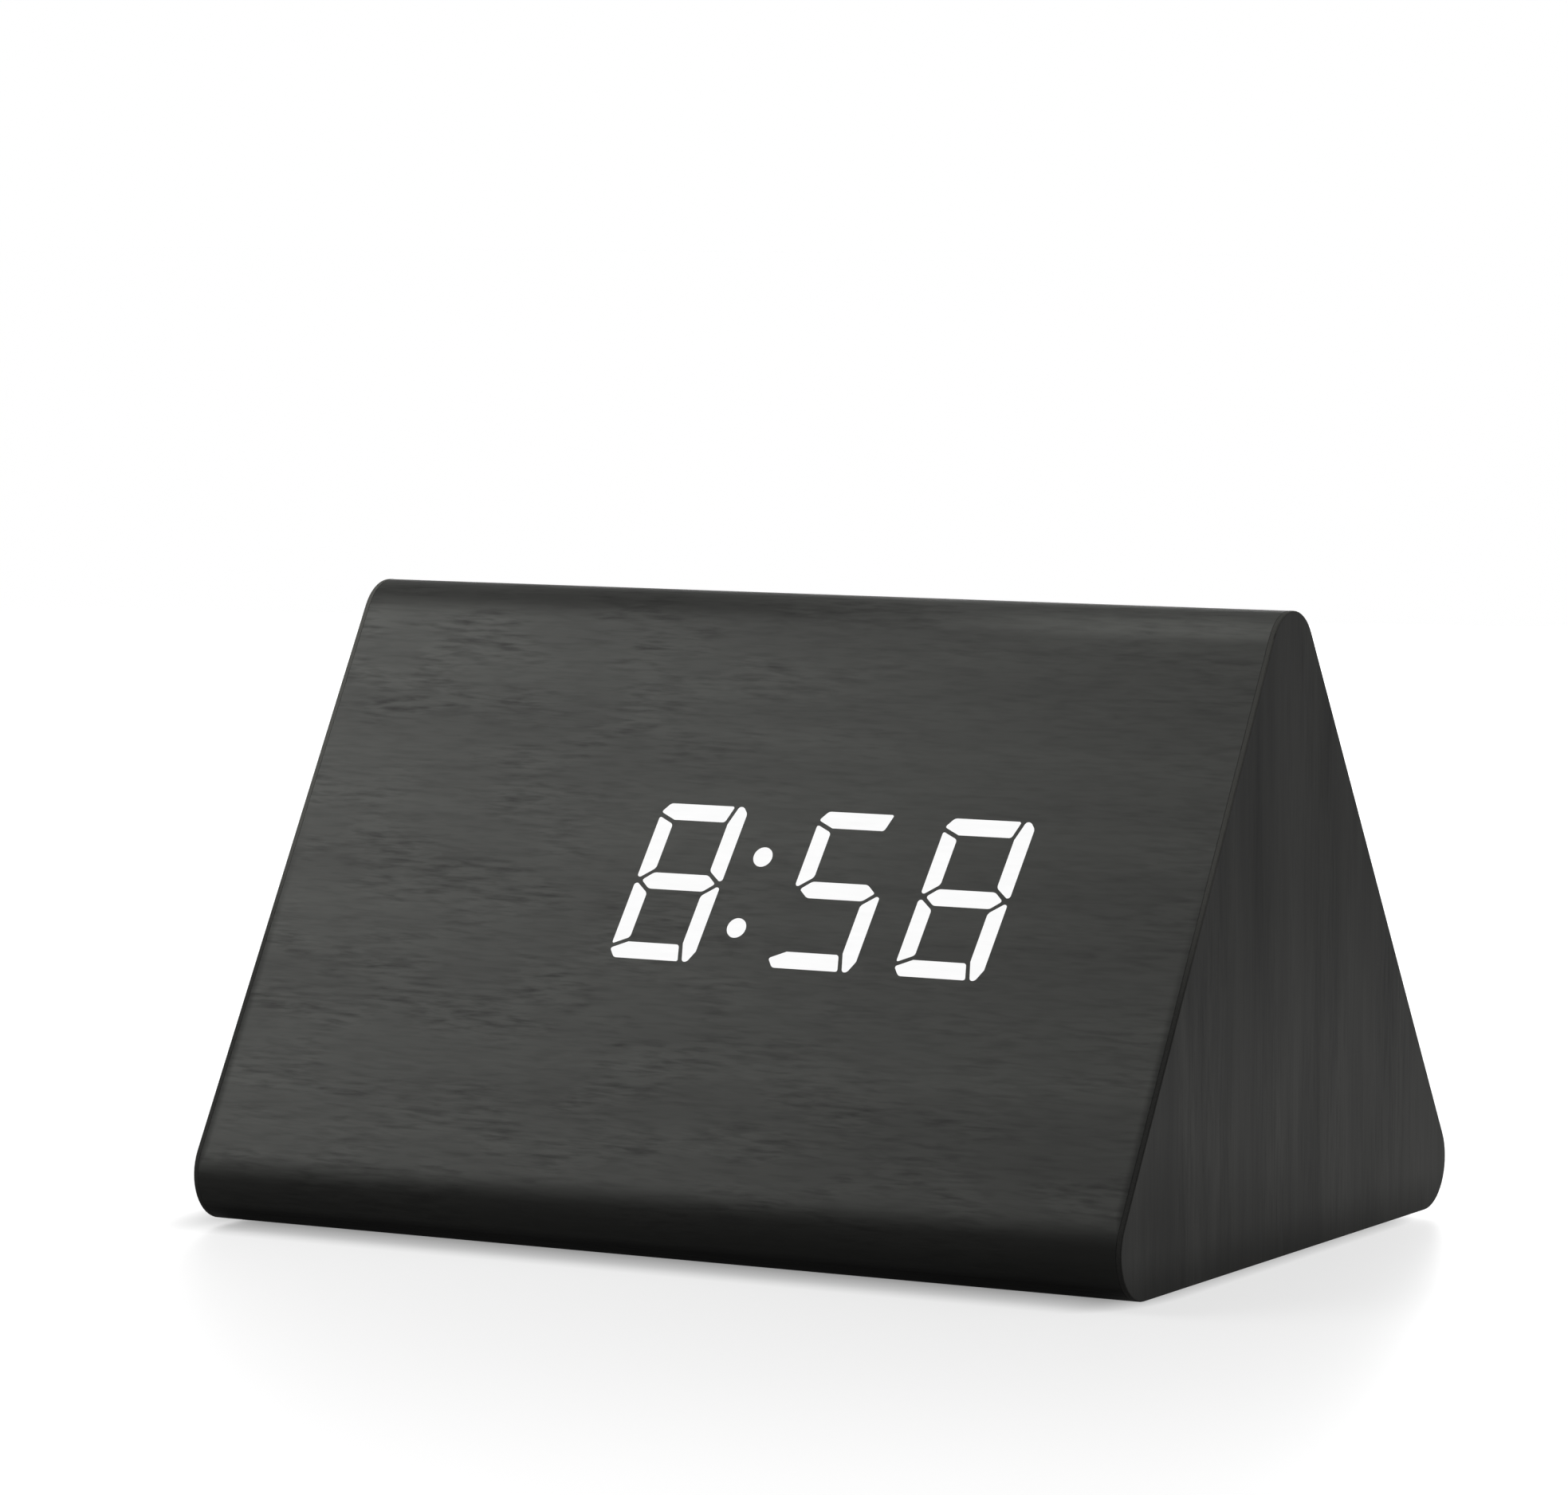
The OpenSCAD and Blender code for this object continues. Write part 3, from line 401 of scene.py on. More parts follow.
def circuit_board(name):
    """Solder mask over copper: green lacquer, paler where tracks of about 0.4 mm lie under it."""
    material, node = new_finish(name)
    place = node("ShaderNodeTexCoord").outputs["Object"]
    fitted = node("ShaderNodeMapping", {
        "Vector": place, "Scale": (5 * MM,) * 3, "Rotation": (0.4, 0.3, 0.0),
    }, vector_type="TEXTURE")
    tracks = node("ShaderNodeTexBrick", {
        "Vector": fitted, "Scale": 1.0, "Mortar Size": 0.08, "Mortar Smooth": 0.2,
    }).outputs["Fac"]
    node("ShaderNodeOutputMaterial", {"Surface": node("ShaderNodeBsdfPrincipled", {
        "Base Color": node("ShaderNodeMix", {
            "Factor": tracks, "A": linear("#17492d"), "B": linear("#2c7a4b"),
        }, data_type="RGBA"),
        "Roughness": 0.35,
        "IOR": 1.5,
        "Normal": node("ShaderNodeBump", {"Height": tracks, "Distance": 0.035 * MM}),
    })})
    return material


def soft_plastic(name, low, high, rough):
    """Drawn PVC: smooth and a little waxy, with faint clouds."""
    material, node = new_finish(name)
    place = node("ShaderNodeTexCoord").outputs["Object"]
    cloud = node("ShaderNodeTexNoise", {"Vector": place, "Scale": 1 / (3 * MM)})
    node("ShaderNodeOutputMaterial", {"Surface": node("ShaderNodeBsdfPrincipled", {
        "Base Color": node("ShaderNodeMix", {
            "Factor": cloud, "A": linear(low), "B": linear(high),
        }, data_type="RGBA"),
        "Roughness": rough,
        "IOR": 1.53,
        "Normal": node("ShaderNodeBump", {"Height": cloud, "Distance": 0.02 * MM}),
    })})
    return material


def ribbon_plastic(name, core_mm):
    """Flat cable of grey PVC: a ridge across X over each core."""
    material, node = new_finish(name)
    place = node("ShaderNodeTexCoord").outputs["Object"]
    ridges = node("ShaderNodeTexWave", {
        "Vector": place, "Scale": math.pi / (10 * core_mm * MM),
    }, bands_direction="X").outputs["Fac"]
    node("ShaderNodeOutputMaterial", {"Surface": node("ShaderNodeBsdfPrincipled", {
        "Base Color": node("ShaderNodeMix", {
            "Factor": ridges, "A": linear("#7c7f82"), "B": linear("#999c9f"),
        }, data_type="RGBA"),
        "Roughness": 0.45,
        "IOR": 1.53,
        "Normal": node("ShaderNodeBump", {"Height": ridges, "Distance": 0.1 * MM}),
    })})
    return material


def foot_foam(name):
    """Closed-cell foam: black, matt and slightly pitted."""
    material, node = new_finish(name)
    place = node("ShaderNodeTexCoord").outputs["Object"]
    pits = node("ShaderNodeTexVoronoi", {"Vector": place, "Scale": 1 / (0.5 * MM)})
    node("ShaderNodeOutputMaterial", {"Surface": node("ShaderNodeBsdfPrincipled", {
        "Base Color": node("ShaderNodeMix", {
            "Factor": pits, "A": linear("#0e0e0e"), "B": linear("#242424"),
        }, data_type="RGBA"),
        "Roughness": 0.92,
        "Specular IOR Level": 0.15,
        "Normal": node("ShaderNodeBump", {"Height": pits, "Distance": 0.06 * MM}),
    })})
    return material


def lamp_face(name):
    """Cured phosphor gel in an LED: pale yellow and slightly grainy."""
    material, node = new_finish(name)
    place = node("ShaderNodeTexCoord").outputs["Object"]
    grains = node("ShaderNodeTexNoise", {"Vector": place, "Scale": 1 / (0.15 * MM), "Detail": 3.0})
    node("ShaderNodeOutputMaterial", {"Surface": node("ShaderNodeBsdfPrincipled", {
        "Base Color": node("ShaderNodeMix", {
            "Factor": grains, "A": linear("#e3cf78"), "B": linear("#f6ebb4"),
        }, data_type="RGBA"),
        "Roughness": 0.4,
        "Normal": node("ShaderNodeBump", {"Height": grains, "Distance": 0.01 * MM}),
    })})
    return material


WRAP_FIGURE = {
    "band": (70, 7, 0.6), "patch": (14, 5, 0), "streak": (4.2, 0.6, 1.5),
    "pore": (2.4, 0.32, 0.45), "fibre": (9, 0.2, 0.1),
}
END_FIGURE = {
    "band": (60, 8, 1.6), "patch": (40, 6, 0), "streak": (30, 2.2, 0.75),
    "pore": (6, 0.35, 0.8), "fibre": (12, 0.25, 0.5),
}
WRAP = stained_veneer(
    "black_stained_veneer", along="X", dark="#363635", light="#5e5f5c", figure=WRAP_FIGURE,
    seed=334.5, relief_mm=0.04, painted_shading=painted_shade_and_highlight_on_wrap, marked=calm_by_the_display,
)
ENDS = stained_veneer(
    "black_stained_end_veneer", along="Z", dark="#2d2d2d", light="#555553", figure=END_FIGURE,
    seed=182.6, relief_mm=0.03, painted_shading=painted_shade_on_ends, marked=evenly,
)
EDGE = cut_edge("cut_veneer_edge")
GLOW = glowing_veneer("lit_veneer")
BOARD = fibre_board("raw_mdf")
FILM = moulded("frosted_diffuser_film", "#e6e6e1", "#f4f4f0", 0.6, 0.4)
REFLECTOR = moulded("white_moulded_abs", "#e2e2df", "#f0f0ee", 0.45, 0.5)
CIRCUIT = circuit_board("green_circuit_board")
LAMPS = lamp_face("led_phosphor")
CHIP = moulded("moulded_epoxy", "#1b1c1e", "#2a2c2e", 0.6, 0.25)
CAN = plated("bright_steel_can", "#b4b7b9", "#d2d4d6", 0.24, 0.2)
NYLON = moulded("glass_filled_nylon", "#292b2c", "#37393b", 0.55, 0.3)
ZINC = plated("zinc_plated_steel", "#9da0a2", "#c2c4c6", 0.32, 0.15)
SHELL_ABS = moulded("black_spark_eroded_abs", "#191a1b", "#252627", 0.55, 0.3)
BLACK_STEEL = plated("black_zinc_steel", "#2c2d2f", "#4a4b4e", 0.38, 0.15)
CAP_ABS = moulded("satin_button_abs", "#2a2b2d", "#343538", 0.42, 0.22, 0.006)
PEG = moulded("grey_acetal", "#45474a", "#505356", 0.45, 0.3)
SOCKET = moulded("black_polyamide", "#1c1d1e", "#28292a", 0.5, 0.3)
MIC_CAN = plated("aluminium_can", "#a9acae", "#c6c8ca", 0.3, 0.2)
BEAD = moulded("dipped_epoxy", "#26221e", "#383330", 0.3, 0.6)
RIBBON = ribbon_plastic("grey_ribbon_pvc", 1.27)
IVORY = moulded("ivory_nylon", "#dcd9d0", "#eae8e0", 0.5, 0.3)
NICKEL = plated("nickel_plated_steel", "#bab8b0", "#d8d6cf", 0.22, 0.12)
JACKET = soft_plastic("cell_jacket_pvc", "#4d565c", "#626b71", 0.35)
RED_PVC = soft_plastic("red_pvc", "#97201a", "#b02b22", 0.42)
BLACK_PVC = soft_plastic("black_pvc", "#181818", "#262626", 0.42)
PALE_JACKET = soft_plastic("pale_jacket_pvc", "#c3c7c9", "#d3d6d8", 0.35)
SIGN_PAINT = moulded("pale_sign_paint", "#8d9092", "#9c9fa1", 0.5, 0.2, 0.004)
FOAM = foot_foam("black_closed_cell_foam")

# Finish of each solid that shows as it is
FINISHES = {
    "shell": BOARD, "left_end_panel": BOARD, "right_end_panel": BOARD,
    "diffuser_film": FILM, "light_box": REFLECTOR, "display_board": CIRCUIT,
    "segment_leds": LAMPS, "clock_chip": CHIP, "driver_chip": CHIP, "crystal": CAN,
    "backup_cell_holder": NYLON, "backup_cell": CAN, "display_screws": ZINC,
    "set_plunger": PEG, "up_plunger": PEG, "down_plunger": PEG, "switch_bodies": NYLON,
    "control_board": CIRCUIT, "control_board_screws": ZINC, "buzzer": CHIP,
    "microphone": MIC_CAN, "thermistor": BEAD, "ribbon_cable": RIBBON,
    "ribbon_sockets": IVORY, "contact_plates": NICKEL, "red_lead": RED_PVC,
    "black_lead": BLACK_PVC,
}
for name, finish in FINISHES.items():
    slots = nodes[name].data.materials
    for i in range(len(slots)):
        slots[i] = finish


# Shapes

# Edges with a greater angle than this, in degrees, stay sharp: on most pieces, and on those
# with fine turned forms
SHARP, SHARP_ON_TURNED = 30, 35
# Most of an edge's length that the easing of the edges at its ends may take
MOST_EASED = 0.45


def piece_from(name, bm, finishes, sharp_angle=SHARP):
    """Makes an object of a bmesh: smooth faces, with edges sharper than the angle kept."""
    mesh = bpy.data.meshes.new(name)
    bm.to_mesh(mesh)
    bm.free()
    mesh.shade_smooth()
    mesh.set_sharp_from_angle(angle=math.radians(sharp_angle))
    for finish in finishes:
        mesh.materials.append(finish)
    made = bpy.data.objects.new(name, mesh)
    scene.collection.objects.link(made)
    return made


def declare(piece, body, solid):
    """Says which body a piece rides on, and hides the solid that it stands for."""
    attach(piece, body)
    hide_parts(solid)


def eased_copy(solid, name, finishes, width_mm, easing, finish_of=None):
    """A merged copy of a solid. easing() gives the share of the width by which a sharp edge
    is eased, from its two ends, and finish_of() a face's finish, from its corners and normal.
    Points that an edge of no width leaves on one spot are merged."""
    bm = bmesh.new()
    bm.from_mesh(nodes[solid].data)
    bmesh.ops.remove_doubles(bm, verts=bm.verts, dist=0.0005 * MM)
    flat = math.radians(0.3)
    bmesh.ops.dissolve_limit(bm, angle_limit=flat, verts=bm.verts, edges=bm.edges)
    weight = bm.edges.layers.float.new("bevel_weight_edge")
    for edge in bm.edges:
        if len(edge.link_faces) == 2 and edge.calc_face_angle() > math.radians(SHARP):
            share = easing(*(v.co / MM for v in edge.verts))
            beside = [e.calc_length() / MM for v in edge.verts for e in v.link_edges if e != edge]
            edge[weight] = min(share, MOST_EASED * min(beside) / width_mm)
    for face in bm.faces:
        face.material_index = 0
        if finish_of:
            face.material_index = finish_of([v.co / MM for v in face.verts], face.normal)
    made = piece_from(name, bm, finishes)
    bevel = made.modifiers.new("eased_edges", "BEVEL")
    bevel.limit_method = "WEIGHT"
    bevel.width = width_mm * MM
    bevel.segments = 3
    bevel.use_clamp_overlap = False
    weld = made.modifiers.new("merged_points", "WELD")
    weld.merge_threshold = 0.001 * MM
    even = made.modifiers.new("even_shading", "WEIGHTED_NORMAL")
    even.keep_sharp = True
    return made


def ring_points(radius, count=24):
    """Points round a circle in the XY plane."""
    return [
        (radius * math.cos(math.tau * k / count), radius * math.sin(math.tau * k / count))
        for k in range(count)
    ]


def turned(bm, profile, place, sides=48, finish_of=None):
    """Turns a profile of (radius, height) points about Z at a place. A point on the axis is
    a single corner, and finish_of gives each band's finish."""
    rings = []
    for radius, height in profile:
        points = ring_points(radius, sides if radius else 1)
        rings.append([bm.verts.new(place @ Vector((x, y, height))) for x, y in points])
    for i, (low, high) in enumerate(zip(rings, rings[1:])):
        for k in range(sides):
            corners = [
                low[k % len(low)], low[(k + 1) % len(low)],
                high[(k + 1) % len(high)], high[k % len(high)],
            ]
            face = bm.faces.new(dict.fromkeys(corners))
            face.material_index = finish_of[i] if finish_of else 0


def raised(bm, outline, low, high, place, top_finish):
    """A small flat-topped form over an outline, between two heights."""
    rings = [[bm.verts.new(place @ Vector((x, y, z))) for x, y in outline] for z in (low, high)]
    bm.faces.new(reversed(rings[0]))
    bm.faces.new(rings[1]).material_index = top_finish
    count = len(outline)
    for k in range(count):
        j = (k + 1) % count
        bm.faces.new((rings[0][k], rings[0][j], rings[1][j], rings[1][k]))


# Veneer: the sheet round the long faces and the sheets that cover its ends. The seam
# between them is a fine groove, and the ends' cut edges show dark beside it. The lit
# figures lie flush in the sheet, and light creeping past their stencil rounds their corners.
# The widths by which edges are eased are in millimetres.

FRONT_NORMAL = Vector((0, -math.sin(SLOPE), math.cos(SLOPE)))
FIGURE_CORNER, WRAP_RIM, END_RIM = 0.3, 0.08, 0.15


def depth_in_section(point):
    """Distance of a point from the triangle of the three long edges' centres."""
    centres = [Vector((-MID_Y, LOW_Z)), Vector((MID_Y, LOW_Z)), Vector((0, TOP_Z))]
    spot = Vector((point.y, point.z))
    distances = []
    for start, end in zip(centres, centres[1:] + centres[:1]):
        run = end - start
        share = max(0, min(1, (spot - start).dot(run) / run.length_squared))
        distances.append((spot - start - share * run).length)
    return min(distances)


def across_front(start, end):
    """1 for an edge that runs through the front veneer, as the figures' corners do."""
    way = (end - start).normalized()
    return 1.0 if abs(way.dot(FRONT_NORMAL)) > 0.999 else 0.0


def wrap_easing(start, end):
    """Eases the outer rims of the wrapped sheet a little, and the figures' corners fully."""
    on_rim = all(
        abs(p.x) > WRAP_END - 0.01 and depth_in_section(p) > CORNER_R - VENEER_T / 2
        for p in (start, end)
    )
    return WRAP_RIM / FIGURE_CORNER if on_rim else across_front(start, end)


def end_face_easing(start, end):
    """Eases the edges round the outer face of an end sheet."""
    return 1.0 if min(abs(start.x), abs(end.x)) > BODY_LEN / 2 - 0.01 else 0.0


def end_finish(corners, normal):
    """The two faces of an end sheet are veneer, and its rim is cut edge."""
    return 0 if abs(normal.x) > 0.9 else 1


wood = eased_copy("veneer_wrap", "veneer_sheet", [WRAP], FIGURE_CORNER, wrap_easing)
declare(wood, "clock", "veneer_wrap")
figures = eased_copy("lit_segments", "lit_figures", [GLOW], FIGURE_CORNER, across_front)
declare(figures, "clock", "lit_segments")
for side in ("left", "right"):
    sheet = eased_copy(
        side + "_end_veneer", side + "_end_sheet", [ENDS, EDGE], END_RIM,
        end_face_easing, end_finish,
    )
    declare(sheet, "clock", side + "_end_veneer")


# Control insert and battery compartment

def on_panel(point):
    """A point in the panel's own place: along it, up it and out of it, in millimetres."""
    return ON_PANEL.inverted() @ (point * MM)


def panel_easing(level, start, end):
    """Eases the edges that lie further out of the panel than a level."""
    return 1.0 if min(on_panel(start).z, on_panel(end).z) > level else 0.0


def inlet_finish(corners, normal):
    """The centre pin is plated, the rest is moulded."""
    spots = [on_panel(corner) for corner in corners]
    reach = max(math.hypot(spot.x - INLET_U, spot.y) for spot in spots)
    return 1 if reach < INLET_PIN_R + 0.05 else 0


def base_easing(start, end):
    """Eases the edges that are level with the underside of the body."""
    return 1.0 if max(start.z, end.z) < FOOT_H + 0.02 else 0.0


at_panel_face = partial(panel_easing, -0.02)
at_inlet_face = partial(panel_easing, -1.05)
for solid, name, width, easing, body in (
    ("control_panel", "control_insert", 0.25, at_panel_face, "clock"),
    ("battery_box", "battery_tray", 0.25, base_easing, "clock"),
    ("battery_door", "battery_cover", 0.22, base_easing, "battery_door"),
):
    declare(eased_copy(solid, name, [SHELL_ABS], width, easing), body, solid)
inlet = eased_copy(
    "power_inlet", "inlet_socket", [SOCKET, NICKEL], 0.22, at_inlet_face, inlet_finish
)
declare(inlet, "clock", "power_inlet")


# Buttons: dished caps, each with a plain raised sign

SIGNS = {
    "set": ring_points(0.6),
    "up": [(-0.95, -0.55), (0.95, -0.55), (0.0, 0.9)],
    "down": [(-0.95, 0.55), (0.0, -0.9), (0.95, 0.55)],
}
SIGN_FOOT, SIGN_TOP = BUTTON_OUT - 0.4, BUTTON_OUT - 0.08
CAP_PROFILE = [
    (0, BUTTON_FOOT), (BUTTON_POST_R, BUTTON_FOOT), (BUTTON_POST_R, BUTTON_STOP - BUTTON_COLLAR),
    (BUTTON_COLLAR_R, BUTTON_STOP - BUTTON_COLLAR), (BUTTON_COLLAR_R, BUTTON_STOP),
    (BUTTON_R, BUTTON_STOP), (BUTTON_R, BUTTON_OUT - 0.5), (BUTTON_R - 0.04, BUTTON_OUT - 0.3),
    (BUTTON_R - 0.14, BUTTON_OUT - 0.14), (BUTTON_R - 0.3, BUTTON_OUT - 0.04),
    (BUTTON_R - 0.48, BUTTON_OUT), (BUTTON_R - 0.7, BUTTON_OUT - 0.03),
    (BUTTON_R - 1.1, BUTTON_OUT - 0.14), (BUTTON_R - 1.7, BUTTON_OUT - 0.24),
    (BUTTON_R - 2.3, BUTTON_OUT - 0.28), (0, BUTTON_OUT - 0.29),
]
for index, (word, outline) in enumerate(SIGNS.items()):
    place = ON_PANEL @ Matrix.Translation((BUTTON_MID + BUTTON_PITCH * (index - 1), 0, 0))
    bm = bmesh.new()
    turned(bm, CAP_PROFILE, place)
    raised(bm, outline, SIGN_FOOT, SIGN_TOP, place, 1)
    bmesh.ops.recalc_face_normals(bm, faces=bm.faces)
    cap = piece_from(word + "_cap", bm, [CAP_ABS, SIGN_PAINT], SHARP_ON_TURNED)
    declare(cap, word + "_key", word + "_button")


# Repeats: one Geometry Nodes tree sets a piece out on a grid, one sweeps wire

def new_tree(name, **sockets):
    """A tree with named inputs, the function that adds nodes to it, and what it is given."""
    tree = bpy.data.node_groups.new(name, "GeometryNodeTree")
    tree.interface.new_socket("Geometry", in_out="INPUT", socket_type="NodeSocketGeometry")
    for key, kind in sockets.items():
        tree.interface.new_socket(
            key.replace("_", " "), in_out="INPUT", socket_type="NodeSocket" + kind
        )
    tree.interface.new_socket("Geometry", in_out="OUTPUT", socket_type="NodeSocketGeometry")
    node = partial(add, tree)
    return tree, node, node("NodeGroupInput").outputs


def grid_tree():
    """Sets its piece out on the corners of a grid, each turned a little at random.
    A spacing of nought leaves a single row."""
    tree, node, given = new_tree(
        "set_out_on_grid", Spacing_X="Float", Spacing_Y="Float", Most_turn="Float",
        Seed="Int", Finish="Material",
    )
    grid = node("GeometryNodeMeshGrid", {
        "Size X": given["Spacing X"], "Size Y": given["Spacing Y"],
        "Vertices X": 2, "Vertices Y": 2,
    })
    corners = node("GeometryNodeMergeByDistance", {"Geometry": grid, "Distance": 0.1 * MM})
    turn = node("FunctionNodeRandomValue", {
        "Max": given["Most turn"], "Seed": given["Seed"],
    }, data_type="FLOAT")
    copies = node("GeometryNodeInstanceOnPoints", {
        "Points": corners, "Instance": given["Geometry"],
        "Rotation": node("ShaderNodeCombineXYZ", {"Z": turn}),
    })
    whole = node("GeometryNodeRealizeInstances", {"Geometry": copies})
    done = node("GeometryNodeSetMaterial", {"Geometry": whole, "Material": given["Finish"]})
    node("NodeGroupOutput", {"Geometry": done})
    return tree


def wire_tree():
    """Sweeps round wire along the given curves."""
    tree, node, given = new_tree(
        "wire_along_path", Wire_radius="Float", Sides="Int", Finish="Material"
    )
    ring = node("GeometryNodeCurvePrimitiveCircle", {
        "Resolution": given["Sides"], "Radius": given["Wire radius"],
    }, mode="RADIUS")
    wire = node("GeometryNodeCurveToMesh", {
        "Curve": given["Geometry"], "Profile Curve": ring, "Fill Caps": True,
    })
    whole = node("GeometryNodeRealizeInstances", {"Geometry": wire})
    done = node("GeometryNodeSetMaterial", {"Geometry": whole, "Material": given["Finish"]})
    node("NodeGroupOutput", {"Geometry": done})
    return tree


def grown(name, host, tree, place, finish, **values):
    """What a tree makes of a host, as a plain mesh object at its place."""
    modifier = host.modifiers.new(tree.name, "NODES")
    modifier.node_group = tree
    values["Finish"] = finish
    for item in tree.interface.items_tree:
        word = item.name.replace(" ", "_")
        if item.in_out == "INPUT" and word in values:
            modifier[item.identifier] = values[word]
    graph = bpy.context.evaluated_depsgraph_get()
    mesh = bpy.data.meshes.new_from_object(host.evaluated_get(graph), depsgraph=graph)
    mesh.name = name
    mesh.transform(place)
    mesh.shade_smooth()
    mesh.set_sharp_from_angle(angle=math.radians(SHARP_ON_TURNED))
    bpy.data.objects.remove(host)
    made = bpy.data.objects.new(name, mesh)
    scene.collection.objects.link(made)
    return made


ON_GRID = grid_tree()
WIRE = wire_tree()


def flat_screw():
    """Countersunk screw with a tapered cross recess, its head level with Z = 0."""
    shank_r, head_r, length = 0.9, 1.9, 4.8
    bm = bmesh.new()
    turned(bm, [
        (0, -length), (shank_r * 0.5, -length), (shank_r, -length + 1),
        (shank_r, shank_r - head_r), (head_r, -0.15), (head_r - 0.08, -0.03), (head_r - 0.2, 0),
    ], IN_PLACE, 32)
    rim = [e for e in bm.edges if len(e.link_faces) == 1]

    def cross(arm, half, level):
        """The twelve corners of a cross at a level, from its arms' reach and half width."""
        points = []
        for quarter in range(4):
            turn = Matrix.Rotation(quarter * math.pi / 2, 2)
            points += [turn @ Vector(c) for c in ((half, half), (half, arm), (-half, arm))]
        return [bm.verts.new(IN_PLACE @ Vector((p.x, p.y, level))) for p in points]

    mouth = cross(1.05, 0.26, 0)
    floor = cross(0.55, 0.16, -0.75)
    for k in range(12):
        j = (k + 1) % 12
        bm.faces.new((mouth[k], mouth[j], floor[j], floor[k]))
    bm.faces.new(floor)
    lip = [bm.edges.get((mouth[k], mouth[(k + 1) % 12])) for k in range(12)]
    bmesh.ops.triangle_fill(bm, use_beauty=True, edges=rim + lip, normal=(0, 0, 1))
    bmesh.ops.recalc_face_normals(bm, faces=bm.faces)
    return piece_from("screw", bm, [BLACK_STEEL])


def foot_pad():
    """Stick-on foot with an eased edge, standing on Z = 0."""
    bm = bmesh.new()
    turned(bm, [
        (0, FOOT_H), (FOOT_R, FOOT_H), (FOOT_R, 0.22), (FOOT_R - 0.07, 0.08),
        (FOOT_R - 0.22, 0), (0, 0),
    ], IN_PLACE)
    bmesh.ops.recalc_face_normals(bm, faces=bm.faces)
    return piece_from("pad", bm, [FOAM])


def spring_paths():
    """Four tapering coils with straight ends, from their plates to their cells."""
    data = bpy.data.curves.new("coils", "CURVE")
    data.dimensions = "3D"
    steps_a_turn = 32
    steps = COIL_TURNS * steps_a_turn
    lead = 2 * WIRE_R
    for index, row in enumerate(CELL_ROWS):
        points = [(0, COIL_R[0], 0)]
        for i in range(steps + 1):
            share = i / steps
            radius = COIL_R[0] + (COIL_R[1] - COIL_R[0]) * share
            angle = math.tau * COIL_TURNS * share
            points.append((
                lead + (SPRING_LEN - 2 * lead) * share,
                radius * math.cos(angle), radius * math.sin(angle),
            ))
        points.append((SPRING_LEN, COIL_R[1], 0))
        side = -1 if index % 2 == 0 else 1
        run = data.splines.new("POLY")
        run.points.add(len(points) - 1)
        for point, (x, y, z) in zip(run.points, points):
            spot = Vector((side * (BAY_X / 2 - x), row + y, CELL_Z + z))
            point.co = (*(spot * MM), 1.0)
    made = bpy.data.objects.new("coils", data)
    scene.collection.objects.link(made)
    return made


screws = grown(
    "control_insert_screws", flat_screw(), ON_GRID, ON_PANEL @ FROM_METRES, BLACK_STEEL,
    Spacing_X=PANEL_SCREWS_APART * MM, Spacing_Y=0.0, Most_turn=math.pi, Seed=3,
)
declare(screws, "clock", "control_panel_screws")
screws = grown(
    "battery_tray_screws", flat_screw(), ON_GRID, UNDER_BASE @ FROM_METRES, BLACK_STEEL,
    Spacing_X=TRAY_SCREWS_APART[0] * MM, Spacing_Y=TRAY_SCREWS_APART[1] * MM,
    Most_turn=math.pi, Seed=8,
)
declare(screws, "clock", "battery_box_screws")
feet = grown(
    "feet", foot_pad(), ON_GRID, UNPLACED, FOAM,
    Spacing_X=FEET_APART[0] * MM, Spacing_Y=FEET_APART[1] * MM, Most_turn=0.0, Seed=1,
)
declare(feet, "clock", "foot_pads")
springs = grown(
    "contact_coils", spring_paths(), WIRE, UNPLACED, NICKEL, Wire_radius=WIRE_R * MM, Sides=10
)
declare(springs, "clock", "contact_springs")


# Cells: steel cans in a plain jacket that is shrunk a little over both shoulders

CAN_LEN = CELL_LEN - 1.2
CELL_PROFILE = [
    (0, 0.2), (3.6, 0.2), (3.9, 0), (4.5, 0), (4.62, 0.08), (4.62, 0.2), (CELL_R - 0.12, 0.14),
    (CELL_R, 0.4), (CELL_R, 36.0), (CELL_R, 41.2), (CELL_R, CAN_LEN - 0.5),
    (CELL_R - 0.2, CAN_LEN - 0.12), (CELL_R - 0.5, CAN_LEN), (4.2, CAN_LEN - 0.02),
    (4.15, CAN_LEN - 0.2), (2.3, CAN_LEN - 0.16), (1.95, CAN_LEN), (1.9, CAN_LEN + 0.2),
    (1.9, CELL_LEN - 0.25), (1.8, CELL_LEN - 0.08), (1.6, CELL_LEN), (0, CELL_LEN),
]
# Finish of each band of the profile, by its place in the list of finishes
PLAIN, STEEL, PALE = range(3)
CELL_BANDS = 5 * [STEEL] + 3 * [PLAIN] + [PALE] + 4 * [PLAIN] + 8 * [STEEL]
bm = bmesh.new()
for index, row in enumerate(CELL_ROWS):
    half_turn = math.pi if index % 2 else 0.0
    place = (
        IN_PLACE
        @ Matrix.Translation((0, row, CELL_Z))
        @ Matrix.Rotation(half_turn, 4, "Z")
        @ Matrix.Translation((-BAY_X / 2 + SPRING_LEN, 0, 0))
        @ Matrix.Rotation(math.pi / 2, 4, "Y")
    )
    turned(bm, CELL_PROFILE, place, finish_of=CELL_BANDS)
bmesh.ops.recalc_face_normals(bm, faces=bm.faces)
dry_cells = piece_from("dry_cells", bm, [JACKET, NICKEL, PALE_JACKET])
declare(dry_cells, "clock", "cells")


# Studio: white floor with a faint polish, white surroundings, soft light from the left

AMBIENT, FROM_BELOW = 0.13, 1.0
# The floor's glow is lower near the object, a painted soft shade round it, and higher far off,
# making up for the lamps' falloff
FLOOR_GLOW, FLOOR_GLOW_FAR, FLOOR_POLISH, FLOOR_REACH = 0.83, 0.98, 0.13, 6.0
LAMP_AIM_Z = 0.03


